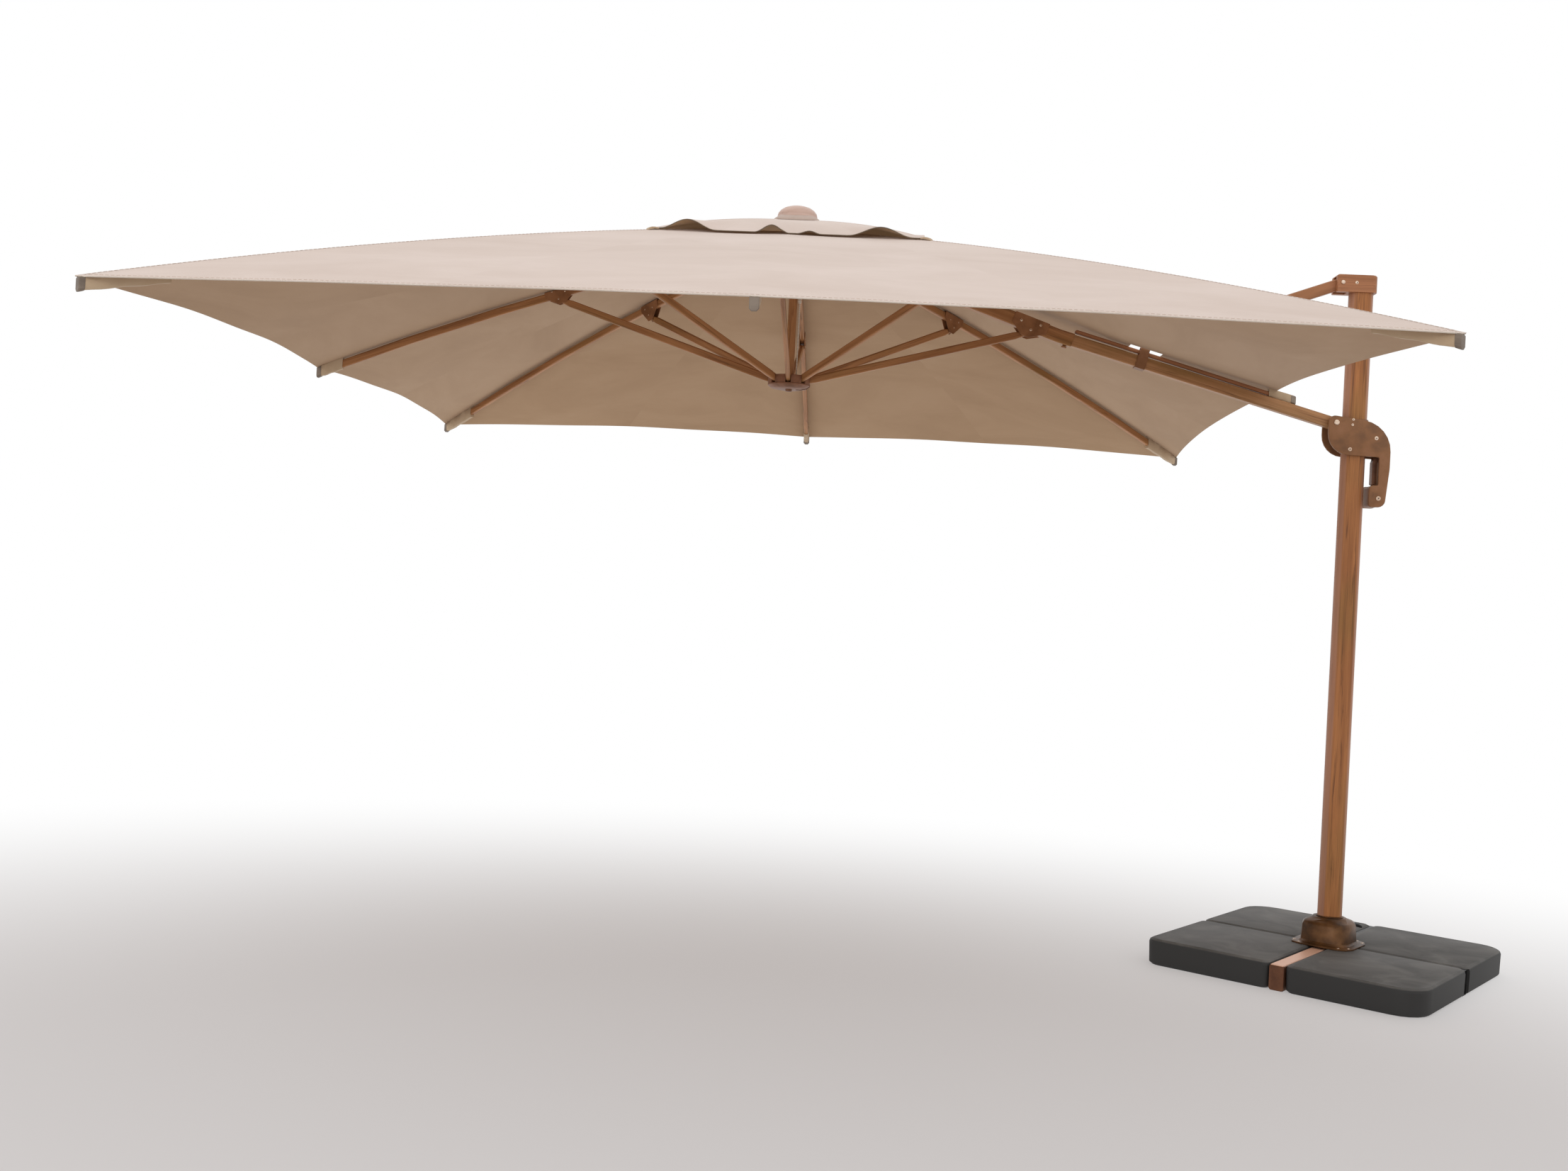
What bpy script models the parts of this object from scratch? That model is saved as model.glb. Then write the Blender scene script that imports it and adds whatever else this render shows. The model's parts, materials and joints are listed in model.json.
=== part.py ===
"""Square cantilever patio umbrella on a cross base with four slab weights.

Metres, +Z up. The mast stands on the Z axis, the ground is z = 0, and the
canopy reaches out towards -X. The canopy is open, as it stands in use.
"""

import math

import bmesh
import bpy
from mathutils import Matrix, Vector

# ---------------------------------------------------------------- driving sizes
GAP = 0.0003  # between pieces that touch

# Base
BASE_TURN = math.radians(-36.6)  # the cross stands skew to the canopy
BASE_HALF = 0.475
WEIGHT_TOP = 0.092
CROSS_WIDTH = 0.050
CROSS_TOP = 0.086
HOUSING_TOP = 0.187

# Mast: an oval tube
MAST_X, MAST_Y, MAST_CORNER = 0.084, 0.061, 0.0285
MAST_WALL = 0.0025
MAST_BOTTOM, MAST_TOP = 0.1905, 2.4446
CAP_BOTTOM, CAP_TOP = 2.413, 2.475

# Linkage pivots in the y = 0 plane: slider, cap and the lug on the boom
SLIDER_PIVOT = Vector((-0.075, 0, 1.946))
CAP_PIVOT = Vector((-0.075, 0, 2.446))
LUG_PIVOT = Vector((-0.750, 0, 2.196))

# Boom and upper arm
BOOM_WIDTH, BOOM_DEPTH = 0.036, 0.042
INNER_WIDTH, INNER_DEPTH = 0.042, 0.048
ARM_WIDTH, ARM_DEPTH = 0.031, 0.040
TUBE_WALL = 0.002
COLLAR_X, COLLAR_Z = -1.036, 2.208
PIN_RADIUS, PIN_HOLE = 0.0050, 0.0055

# Canopy
CENTRE_X = -2.03
CANOPY_HALF = 1.75
OPENING_HALF = 0.205
CLOTH = 0.002
EDGE_HOLLOW = 0.057  # how far each hem curves in between two rib tips
CLOTH_OVER_BOOM = 0.047  # above the boom's centre line, on the light rib
VENT_HALF = 0.455
VENT_TOP = 2.600

# Hub, runner and ribs
PIVOT_RADIUS = 0.060
HUB_PIVOT_Z = 2.530
RUNNER_PIVOT_Z = 2.014
RIB_WIDTH, RIB_DEPTH = 0.018, 0.028
RIB_UNDER_CLOTH = 0.022
RIDGE_CLEARANCE = 0.003  # the cloth falls away on both sides of a corner rib
STRUT_WIDTH, STRUT_DEPTH = 0.016, 0.026
MID_PIN = (0.850, 2.272)
CORNER_PIN = (0.850, 2.325)
BOOM_PIN = (0.845, 2.222)

UP = Vector((0, 0, 1))
SIDE = Vector((0, 1, 0))
CORNER_REACH = math.sqrt(2)


# ---------------------------------------------------------------- scene helpers
def clear_scene():
    for thing in list(bpy.data.objects):
        bpy.data.objects.remove(thing, do_unlink=True)


def linear(red, green, blue):
    """A colour given in display values from 0 to 255, as the shader wants it."""
    values = (red / 255, green / 255, blue / 255)
    return [v / 12.92 if v <= 0.04045 else ((v + 0.055) / 1.055) ** 2.4 for v in values]


def material(name, colour, roughness, metallic=0.0):
    made = bpy.data.materials.new(name)
    made.use_nodes = True
    shader = made.node_tree.nodes["Principled BSDF"]
    shader.inputs["Base Color"].default_value = (*linear(*colour), 1)
    shader.inputs["Roughness"].default_value = roughness
    shader.inputs["Metallic"].default_value = metallic
    made.diffuse_color = (*linear(*colour), 1)
    return made


bodies = {}


def body(name, pivot, parent=None):
    """An empty on a moving body's joint axis; its pieces hang from it."""
    empty = bpy.data.objects.new("pivot_" + name, None)
    bpy.context.scene.collection.objects.link(empty)
    empty.empty_display_size = 0.05
    pivot = Vector(pivot)
    if parent:
        empty.parent = bodies[parent][0]
        empty.location = pivot - bodies[parent][1]
    else:
        empty.location = pivot
    bodies[name] = (empty, pivot)


def piece(name, mesh_builder, body_name, finish):
    """A named object, with its origin on its body's pivot, from a bmesh in world metres."""
    empty, pivot = bodies[body_name]
    bmesh.ops.recalc_face_normals(mesh_builder, faces=mesh_builder.faces)
    bmesh.ops.translate(mesh_builder, verts=mesh_builder.verts, vec=-pivot)
    mesh = bpy.data.meshes.new(name)
    mesh_builder.to_mesh(mesh)
    mesh_builder.free()
    mesh.shade_smooth()
    mesh.set_sharp_from_angle(angle=math.radians(32))
    made = bpy.data.objects.new(name, mesh)
    bpy.context.scene.collection.objects.link(made)
    made.parent = empty
    if finish:
        mesh.materials.append(finish)
    return made


def cutter(name, mesh_builder, body_name):
    made = piece("cut_" + name, mesh_builder, body_name, None)
    made.hide_render = True
    made.display_type = "WIRE"
    return made


def cut(target, tool):
    step = target.modifiers.new("cut", "BOOLEAN")
    step.operation = "DIFFERENCE"
    step.solver = "EXACT"
    step.object = tool


# ---------------------------------------------------------------- shape helpers
def loft(rings, closed_loop=False):
    """A solid through a row of rings with as many points each."""
    made = bmesh.new()
    rows = [[made.verts.new(p) for p in ring] for ring in rings]
    pairs = list(zip(rows, rows[1:]))
    if closed_loop:
        pairs.append((rows[-1], rows[0]))
    for low, high in pairs:
        count = len(low)
        for i in range(count):
            j = (i + 1) % count
            made.faces.new((low[i], low[j], high[j], high[i]))
    if not closed_loop:
        made.faces.new(rows[0])
        made.faces.new(rows[-1])
    return made


def rounded_polygon(corners, steps=4):
    """2D points of a polygon whose corners (x, y, radius) are rounded off."""
    points = []
    count = len(corners)
    for i, (x, y, radius) in enumerate(corners):
        here = Vector((x, y))
        before = (Vector(corners[i - 1][:2]) - here).normalized()
        after = (Vector(corners[(i + 1) % count][:2]) - here).normalized()
        if radius <= 0:
            points.append(here)
            continue
        half = before.angle(after) / 2
        start = here + before * (radius / math.tan(half))
        centre = here + (before + after).normalized() * (radius / math.sin(half))
        arm = start - centre
        turn = math.pi - 2 * half
        if before.cross(after) > 0:
            turn = -turn
        for k in range(steps + 1):
            angle = turn * k / steps
            c, s = math.cos(angle), math.sin(angle)
            points.append(centre + Vector((arm.x * c - arm.y * s, arm.x * s + arm.y * c)))
    return points


def inset(outline, distance):
    """The outline with each point moved inwards, square to the line between its neighbours."""
    count = len(outline)
    turning = sum(outline[k - 1].cross(outline[k]) for k in range(count))
    inward = 1 if turning > 0 else -1
    moved = []
    for k, p in enumerate(outline):
        along = (outline[(k + 1) % count] - outline[k - 1]).normalized()
        moved.append(p + Vector((-along.y, along.x)) * (inward * distance))
    return moved


def rectangle(width, height, radius, steps=1):
    """2D points of a rectangle with rounded corners, centred on the origin."""
    w, h = width / 2, height / 2
    return rounded_polygon([(-w, -h, radius), (w, -h, radius), (w, h, radius), (-w, h, radius)], steps)


def placed(outline, centre, across, up):
    return [centre + across * p[0] + up * p[1] for p in outline]


def level(outline, z):
    """A 2D outline laid flat at height z."""
    return [Vector((p[0], p[1], z)) for p in outline]


def circle(radius, count, turn=0.0):
    angles = [turn + 2 * math.pi * k / count for k in range(count)]
    return [Vector((radius * math.cos(a), radius * math.sin(a))) for a in angles]


def turned(profile, centre, axis=UP, count=16):
    """A solid turned from (radius, height) points about an axis through the centre."""
    across = axis.orthogonal().normalized()
    other = axis.cross(across)
    return loft([placed(circle(r, count), centre + axis * h, across, other) for r, h in profile])


def box(low, high, frame=None):
    made = bmesh.new()
    bmesh.ops.create_cube(made, size=1)
    low, high = Vector(low), Vector(high)
    scale = Matrix.Diagonal((*(high - low), 1))
    bmesh.ops.transform(made, matrix=Matrix.Translation((low + high) / 2) @ scale, verts=made.verts)
    if frame:
        bmesh.ops.transform(made, matrix=frame, verts=made.verts)
    return made


def plate(outline, y_low, y_high):
    """A flat plate standing in the XZ plane."""
    return loft([[Vector((p[0], y, p[1])) for p in outline] for y in (y_low, y_high)])


def bar(stations, nose, across, wall):
    """A bar with a round nose on its first pivot, hollow from its open last end.

    Each station is (centre, width, depth). across is the bar's width direction.
    """
    first, second = stations[0][0], stations[1][0]
    along = (second - first).normalized()
    up = along.cross(across)
    width = stations[0][1]
    rings = []
    for angle in (25, 50, 72, 90):
        radians = math.radians(angle)
        centre = first - along * (nose * math.cos(radians))
        half = nose * math.sin(radians)
        rings.append(placed(rectangle(width, 2 * half, min(0.003, half / 2)), centre, across, up))
    hollow = []
    for i, (centre, width, depth) in enumerate(stations[1:], start=1):
        ahead = stations[min(i + 1, len(stations) - 1)][0]
        behind = stations[i - 1][0]
        up = (ahead - behind).normalized().cross(across)
        rings.append(placed(rectangle(width, depth, 0.003), centre, across, up))
        if wall:
            inside = rectangle(width - 2 * wall, depth - 2 * wall, 0.0015)
            hollow.append(placed(inside, centre, across, up))
    return loft(rings + hollow[::-1])


def channel(centre, along, up, stations, inner, outer, web_face, web_back):
    """A folded clevis plate: a web with a cheek on each side.

    Each station is (distance along, height of the cheeks' free edge).
    """
    across = up.cross(along)
    rings = []
    for distance, edge in stations:
        outline = [
            (-outer, web_back), (outer, web_back), (outer, edge), (inner, edge),
            (inner, web_face), (-inner, web_face), (-inner, edge), (-outer, edge),
        ]
        rings.append(placed(outline, centre + along * distance, across, up))
    return loft(rings)


def bolt(centre, half_length, head_radius, head_height, count=16):
    """A through pin along Y with a low head at each end."""
    end = half_length + head_height
    profile = [
        (head_radius * 0.7, -end), (head_radius, -end + head_height * 0.4), (head_radius, -half_length),
        (PIN_RADIUS, -half_length), (PIN_RADIUS, half_length),
        (head_radius, half_length), (head_radius, end - head_height * 0.4), (head_radius * 0.7, end),
    ]
    return turned(profile, centre, SIDE, count)


def pin_hole(name, centre, body_name, half_length=0.06):
    return cutter(name, turned([(PIN_HOLE, -half_length), (PIN_HOLE, half_length)], centre, SIDE), body_name)


# ---------------------------------------------------------------- finishes
wood_bronze = material("wood_bronze", (131, 90, 62), 0.42, 0.2)
cast_bronze = material("cast_bronze", (118, 84, 56), 0.45, 0.4)
cross_bronze = material("cross_bronze", (104, 76, 60), 0.5, 0.4)
charcoal = material("charcoal", (84, 83, 80), 0.75)
black_lever = material("black_lever", (38, 38, 38), 0.5)
bright_steel = material("bright_steel", (214, 190, 165), 0.3, 0.8)
canopy_cloth = material("canopy_cloth", (214, 200, 190), 0.9)
cord_white = material("cord_white", (220, 212, 200), 0.8)
cap_plastic = material("cap_plastic", (186, 162, 148), 0.6)


# ---------------------------------------------------------------- canopy form
def cloth_height(m):
    """Height of the cloth on a square m from the canopy's centre line."""
    return 2.565 - 0.2478 * m - 0.0494 * m * m


def boom_line(x):
    """Height of the boom's centre line at x, between slider and collar."""
    slope = (COLLAR_Z - SLIDER_PIVOT.z) / (COLLAR_X - SLIDER_PIVOT.x)
    return SLIDER_PIVOT.z + slope * (x - SLIDER_PIVOT.x)


def mast_side_lift(m):
    """How far the rib on top of the boom lifts the mast-side cloth."""
    on_boom = boom_line(CENTRE_X + m) + CLOTH_OVER_BOOM
    return max(0.0, on_boom - cloth_height(m)) if m > 1.0 else 0.0


def canopy_point(face, m, t, below=0.0):
    """A point of the main cloth: face 0 to 3 turns from +X, t runs from -1 to 1 along it."""
    share = m / CANOPY_HALF
    between = abs(t)
    hollow = 4 * between * (1 - between)
    reach = m * (1 - EDGE_HOLLOW / CANOPY_HALF * hollow * share**3)
    z = cloth_height(reach) - 0.014 * hollow * share + (0.008 - 0.020 * t * t) * share**2
    if face == 0:
        z += mast_side_lift(m) * (1 - between) ** 2
    turn = Matrix.Rotation(face * math.pi / 2, 3, "Z")
    return turn @ Vector((reach, reach * t, 0)) + Vector((CENTRE_X, 0, z - below))


def cloth_ring(m, below, point, per_side):
    ring = []
    for face in range(4):
        for k in range(per_side):
            ring.append(point(face, m, -1 + 2 * k / per_side, below))
    return ring


def vent_point(face, m, t, below=0.0):
    """A point of the small upper tier, a low pyramid with slightly hollow sides."""
    z = VENT_TOP - 0.21 * m - 0.19 * m * m
    turn = Matrix.Rotation(face * math.pi / 2, 3, "Z")
    return turn @ Vector((m, m * t, 0)) + Vector((CENTRE_X, 0, z - below))


def cloth_solid(sizes, point, per_side):
    top = [cloth_ring(m, 0.0, point, per_side) for m in sizes]
    bottom = [cloth_ring(m, CLOTH, point, per_side) for m in reversed(sizes)]
    return loft(top + bottom, closed_loop=True)


# ---------------------------------------------------------------- rib directions
MID_RIBS = {"left": 180, "near": 270, "far": 90}
CORNER_RIBS = {"near_left": 225, "near_right": 315, "far_left": 135, "far_right": 45}


def direction(degrees):
    a = math.radians(degrees)
    return Vector((math.cos(a), math.sin(a), 0))


def at(degrees, radius, z):
    return Vector((CENTRE_X, 0, z)) + direction(degrees) * radius


# ---------------------------------------------------------------- the base
def build_base():
    turn = Matrix.Rotation(BASE_TURN, 4, "Z")
    half = CROSS_WIDTH / 2

    corners = {"right": 0.080, "back": 0.095, "left": 0.040, "front": 0.095}
    for name, sx, sy in (("right", 1, 1), ("back", -1, 1), ("left", -1, -1), ("front", 1, -1)):
        covers_long = sy > 0
        beside_long, beside_short = 0.004 if covers_long else half + 0.003, 0.004
        outline = rounded_polygon([
            (beside_long, beside_short, 0.045), (BASE_HALF, beside_short, 0.022),
            (BASE_HALF, BASE_HALF, corners[name]), (beside_long, BASE_HALF, 0.022),
        ], 5)
        centre = Vector((BASE_HALF / 2, BASE_HALF / 2))
        rings = []
        for z, inset in ((0.0, 0.010), (0.008, 0.002), (0.078, 0.0), (0.087, 0.003), (WEIGHT_TOP, 0.011)):
            scale = 1 - inset / (BASE_HALF / 2)
            ring = [centre + (p - centre) * scale for p in outline]
            rings.append([turn @ Vector((p.x * sx, p.y * sy, z)) for p in ring])
        slab = piece("weight_" + name, loft(rings), "base", charcoal)
        low_y, high_y = sorted((-0.02 * sy, (half + 0.0006) * sy))
        low_x, high_x = sorted((-0.01 * sx, 0.6 * sx))
        tunnel = box((low_x, low_y, -0.01), (high_x, high_y, CROSS_TOP + 0.0005), turn)
        cut(slab, cutter("tunnel_" + name, tunnel, "base"))
        if covers_long:
            low_x, high_x = sorted((-0.02 * sx, (half + 0.0006) * sx))
            tunnel = box((low_x, -0.01, -0.01), (high_x, 0.6, CROSS_TOP + 0.0005), turn)
            cut(slab, cutter("long_tunnel_" + name, tunnel, "base"))

    def cross_tube(name, low, high, along_y):
        outer = rectangle(CROSS_WIDTH, CROSS_TOP, 0.004)
        inner = rectangle(CROSS_WIDTH - 0.006, CROSS_TOP - 0.006, 0.002)
        along = SIDE if along_y else Vector((1, 0, 0))
        across = Vector((1, 0, 0)) if along_y else SIDE
        middle = Vector((0, 0, CROSS_TOP / 2))
        rings = [
            placed(outer, middle + along * low, across, UP), placed(outer, middle + along * high, across, UP),
            placed(inner, middle + along * high, across, UP), placed(inner, middle + along * low, across, UP),
        ]
        made = loft(rings, closed_loop=True)
        bmesh.ops.transform(made, matrix=turn, verts=made.verts)
        piece(name, made, "base", cross_bronze)

    end = BASE_HALF - 0.008
    cross_tube("cross_tube_long", -end, end, True)
    cross_tube("cross_tube_right", half + GAP, end, False)
    cross_tube("cross_tube_left", -end, -half - GAP, False)

    for name, side in (("front", -1), ("back", 1)):
        plug = rectangle(CROSS_WIDTH - 0.0068, CROSS_TOP - 0.0068, 0.002)
        lip = rectangle(CROSS_WIDTH, CROSS_TOP - 0.001, 0.006)
        middle = Vector((0, side * end, CROSS_TOP / 2))
        across = Vector((1, 0, 0))
        out = SIDE * side
        rings = [
            placed(plug, middle - out * 0.020, across, UP), placed(plug, middle + out * GAP, across, UP),
            placed(lip, middle + out * GAP, across, UP), placed(lip, middle + out * 0.0045, across, UP),
        ]
        made = loft(rings)
        bmesh.ops.transform(made, matrix=turn, verts=made.verts)
        piece("cross_end_cap_" + name, made, "base", cross_bronze)

    # The cast housing: an eight-sided shell with a flange, open below, bored for the mast foot.
    def eight(half_width, corner, z):
        outline = rectangle(2 * half_width, 2 * half_width, corner, 2)
        return [turn @ p for p in level(outline, z)]

    def round_ring(radius, z):
        outline = circle(radius, 12, math.radians(-120))
        return [turn @ p for p in level(outline, z)]

    floor = WEIGHT_TOP + GAP
    rings = [
        eight(0.110, 0.050, floor), eight(0.110, 0.050, floor + 0.005), eight(0.091, 0.048, floor + 0.008),
        eight(0.0855, 0.046, floor + 0.014), eight(0.083, 0.046, 0.160), eight(0.079, 0.046, 0.170),
        eight(0.071, 0.046, 0.1765), round_ring(0.060, HOUSING_TOP - 0.004),
        round_ring(0.056, HOUSING_TOP), round_ring(0.042, HOUSING_TOP), round_ring(0.042, HOUSING_TOP - 0.014),
        eight(0.068, 0.042, 0.162), eight(0.076, 0.042, 0.152), eight(0.078, 0.042, floor),
    ]
    piece("pole_base", loft(rings, closed_loop=True), "base", cast_bronze)

    # The foot pedal beside the housing lets the mast turn when it is pressed.
    out = direction(38)
    across = UP.cross(out)
    hinge = bodies["pedal"][1]
    outline = [(-0.006, 0.022), (0.018, 0.026), (0.055, 0.032), (0.078, 0.024)]
    heights = (0.004, 0.006, -0.002, -0.010)
    rings = []
    for (reach, width), z in zip(outline, heights):
        rings.append(placed(rectangle(width, 0.011, 0.003), hinge + out * reach + UP * z, across, UP))
    piece("foot_pedal", loft(rings), "pedal", black_lever)


# ---------------------------------------------------------------- the mast
def build_mast():
    outer = rectangle(MAST_X, MAST_Y, MAST_CORNER, 4)
    inner = rectangle(MAST_X - 2 * MAST_WALL, MAST_Y - 2 * MAST_WALL, MAST_CORNER - MAST_WALL, 4)
    tube = [level(outer, MAST_BOTTOM), level(outer, MAST_TOP), level(inner, MAST_TOP), level(inner, MAST_BOTTOM)]
    piece("mast_tube", loft(tube, closed_loop=True), "mast", wood_bronze)

    foot = [
        (0.034, 0.112), (0.0405, 0.118), (0.0405, HOUSING_TOP + GAP), (0.047, HOUSING_TOP + GAP),
        (0.047, MAST_BOTTOM - GAP), (0.020, MAST_BOTTOM - GAP),
    ]
    piece("mast_foot", turned(foot, Vector((0, 0, 0)), UP, 24), "mast", cast_bronze)

    outline = rounded_polygon([
        (-0.094, -0.0375, 0.005), (0.049, -0.0375, 0.020), (0.049, 0.0375, 0.020), (-0.094, 0.0375, 0.005),
    ], 4)
    middle = Vector((-0.025, 0))
    rings = []
    for z, scale in ((CAP_BOTTOM, 1.0), (CAP_TOP - 0.005, 1.0), (CAP_TOP - 0.0015, 0.97), (CAP_TOP, 0.92)):
        rings.append(level([middle + (p - middle) * scale for p in outline], z))
    cap = piece("mast_cap", loft(rings), "mast", cast_bronze)
    socket = rectangle(MAST_X + 2 * GAP, MAST_Y + 2 * GAP, MAST_CORNER + GAP, 4)
    cut(cap, cutter("socket", loft([level(socket, 2.40), level(socket, MAST_TOP + GAP)]), "mast"))
    slot = ARM_WIDTH / 2 + 0.001
    cut(cap, cutter("arm_slot", box((-0.12, -slot, 2.40), (-0.054, slot, 2.4690)), "mast"))
    cut(cap, pin_hole("cap_bore", CAP_PIVOT, "mast"))
    piece("arm_pin", bolt(CAP_PIVOT, 0.0375 + GAP, 0.0075, 0.004), "mast", bright_steel)


# ---------------------------------------------------------------- slider and handle
def build_slider():
    inner = rectangle(MAST_X + 0.001, MAST_Y + 0.001, MAST_CORNER + 0.0005, 4)
    outer = rectangle(MAST_X + 0.009, MAST_Y + 0.008, MAST_CORNER + 0.003, 4)
    low, high = 1.842, 1.962
    rings = [level(outer, low), level(outer, high), level(inner, high), level(inner, low)]
    piece("slider_sleeve", loft(rings, closed_loop=True), "slider", cast_bronze)

    outline = rounded_polygon([
        (-0.1015, 1.9735, 0.022), (0.1185, 1.946, 0.110), (0.1185, 1.790, 0.150), (0.106, 1.6515, 0.026),
        (0.050, 1.6515, 0.010), (0.050, 1.729, 0.014), (0.0805, 1.729, 0.004), (0.0805, 1.829, 0.006),
        (-0.1015, 1.8335, 0.075),
    ], 6)
    face, back = 0.0345 + GAP, 0.0445
    for name, side in (("near", -1), ("far", 1)):
        rings = []
        for y, edge in ((face, 0.0), (back - 0.003, 0.0), (back - 0.0009, 0.0009), (back, 0.003)):
            rings.append([Vector((p.x, side * y, p.y)) for p in inset(outline, edge)])
        cheek = piece("slider_plate_" + name, loft(rings), "slider", cast_bronze)
        cut(cheek, pin_hole("plate_bore_" + name, SLIDER_PIVOT, "slider"))
    piece("boom_pin", bolt(SLIDER_PIVOT, back + GAP, 0.0095, 0.004), "slider", bright_steel)

    grip = rounded_polygon([
        (0.058, 1.905, 0.004), (0.094, 1.893, 0.020), (0.1175, 1.838, 0.050), (0.1175, 1.786, 0.060),
        (0.105, 1.6525, 0.026), (0.051, 1.6525, 0.010), (0.051, 1.728, 0.014), (0.093, 1.728, 0.004),
        (0.093, 1.838, 0.006), (0.058, 1.838, 0.003),
    ], 4)
    half = face - GAP
    rings = [[Vector((p.x, y, p.y)) for p in grip] for y in (-half, half)]
    piece("handle_grip", loft(rings), "slider", cast_bronze)

    lever = rounded_polygon([
        (0.0660, 1.7330, 0.003), (0.0790, 1.7330, 0.003), (0.0800, 1.808, 0.004),
        (0.0880, 1.816, 0.004), (0.0880, 1.829, 0.004), (0.0715, 1.829, 0.006), (0.0660, 1.812, 0.005),
    ], 3)
    piece("release_trigger", plate(lever, -0.014, 0.014), "trigger", black_lever)


# ---------------------------------------------------------------- upper arm and boom
def build_arms():
    arm_along = (LUG_PIVOT - CAP_PIVOT).normalized()
    rings = []
    up = arm_along.cross(SIDE)
    nose = ARM_DEPTH / 2
    length = (LUG_PIVOT - CAP_PIVOT).length
    for start, sign in ((0.0, -1), (length, 1)):
        angles = (25, 50, 72, 90) if sign < 0 else (90, 72, 50, 25)
        for angle in angles:
            radians = math.radians(angle)
            centre = CAP_PIVOT + arm_along * (start + sign * nose * math.cos(radians))
            half = nose * math.sin(radians)
            rings.append(placed(rectangle(ARM_WIDTH, 2 * half, min(0.004, half / 2)), centre, SIDE, up))
    arm = piece("upper_arm", loft(rings), "arm", wood_bronze)
    cut(arm, pin_hole("arm_bore_cap", CAP_PIVOT, "arm"))
    cut(arm, pin_hole("arm_bore_lug", LUG_PIVOT, "arm"))

    collar = Vector((COLLAR_X, 0, COLLAR_Z))
    boom_along = (collar - SLIDER_PIVOT).normalized()
    boom_up = boom_along.cross(SIDE)
    if boom_up.z < 0:
        boom_up = -boom_up
    straight = [
        (SLIDER_PIVOT, BOOM_WIDTH, BOOM_DEPTH), (SLIDER_PIVOT + boom_along * 0.03, BOOM_WIDTH, BOOM_DEPTH),
        (collar + boom_along * 0.010, BOOM_WIDTH, BOOM_DEPTH),
    ]
    boom = piece("boom_tube", bar(straight, BOOM_DEPTH / 2, SIDE, TUBE_WALL), "boom", wood_bronze)
    cut(boom, pin_hole("boom_bore", SLIDER_PIVOT, "boom"))

    hub_end = at(0, PIVOT_RADIUS, HUB_PIVOT_Z)
    mouth = collar - boom_along * 0.022
    bend = collar + boom_along * 0.030
    inward = (bend - hub_end).normalized()
    stations = [
        (hub_end, RIB_WIDTH, 0.022), (hub_end + inward * 0.045, RIB_WIDTH, 0.030),
        (hub_end + inward * 0.130, INNER_WIDTH, INNER_DEPTH), (bend, INNER_WIDTH, INNER_DEPTH),
        (mouth, INNER_WIDTH, INNER_DEPTH),
    ]
    piece("inner_arm", bar(stations, 0.011, SIDE, 0.0025), "boom", wood_bronze)

    foot = collar - boom_up * (INNER_DEPTH / 2 + GAP)
    knob = [(0.006, 0.0), (0.006, 0.002), (0.010, 0.003), (0.010, 0.007), (0.007, 0.009)]
    piece("collar_knob", turned(knob, foot, -boom_up, 12), "boom", cast_bronze)

    # The lug that takes the upper arm straddles the boom and the light rib on top of it.
    foot = SLIDER_PIVOT + boom_along * (LUG_PIVOT - SLIDER_PIVOT).dot(boom_along)
    rise = (LUG_PIVOT - foot).length
    inner, outer = BOOM_WIDTH / 2 + GAP, BOOM_WIDTH / 2 + 0.0045
    half = BOOM_DEPTH / 2
    ears = [(-0.018, half * 0.4), (-0.015, rise), (-0.0106, rise + 0.0106), (0.0, rise + 0.015),
            (0.0106, rise + 0.0106), (0.015, rise), (0.018, half * 0.4)]
    lug = channel(foot, boom_along, boom_up, ears, inner, outer, -half - GAP, -half - 0.0035)
    lug = piece("arm_lug", lug, "boom", cast_bronze)
    cut(lug, pin_hole("lug_bore", LUG_PIVOT, "boom"))
    piece("lug_pin", bolt(LUG_PIVOT, outer + GAP, 0.0085, 0.0035), "boom", bright_steel)

    rib_depth = 0.014
    rise = BOOM_DEPTH / 2 + 0.0005 + rib_depth / 2 + 0.003
    start = collar + boom_up * (rise + 0.004) - boom_along * 0.028
    end = SLIDER_PIVOT + boom_up * rise + boom_along * 0.160
    middle = (start + end) / 2
    stations = [
        (start, RIB_WIDTH, rib_depth), (start - boom_along * 0.03, RIB_WIDTH, rib_depth),
        (middle, RIB_WIDTH, rib_depth), (end, RIB_WIDTH, rib_depth),
    ]
    piece("mast_side_rib", bar(stations, rib_depth / 2, SIDE, 0.0015), "boom", wood_bronze)

    pin = at(0, *BOOM_PIN)
    inner_along = -inward
    inner_up = inner_along.cross(SIDE)
    if inner_up.z < 0:
        inner_up = -inner_up
    centre = hub_end + inward * (pin - hub_end).dot(inward)
    drop = (centre - pin).length
    half = INNER_DEPTH / 2
    cheeks = [(-0.070, -half * 0.6), (-0.013, -drop - 0.013), (0.013, -drop - 0.013), (0.060, -half * 0.6)]
    bracket = channel(centre, inner_along, inner_up, cheeks, INNER_WIDTH / 2 + GAP,
                      INNER_WIDTH / 2 + 0.003, half + GAP, half + 0.0025)
    piece("boom_bracket", bracket, "boom", cast_bronze)


# ---------------------------------------------------------------- ribs, struts, hubs
def rib_line(degrees, radius, corner):
    m = radius / CORNER_REACH if corner else radius
    share = m / CANOPY_HALF
    tweak = (0.008 - (0.020 if corner else 0.0)) * share**2
    under = RIB_UNDER_CLOTH + (RIDGE_CLEARANCE if corner else 0.0)
    return at(degrees, radius, cloth_height(m) + tweak - under)


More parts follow.
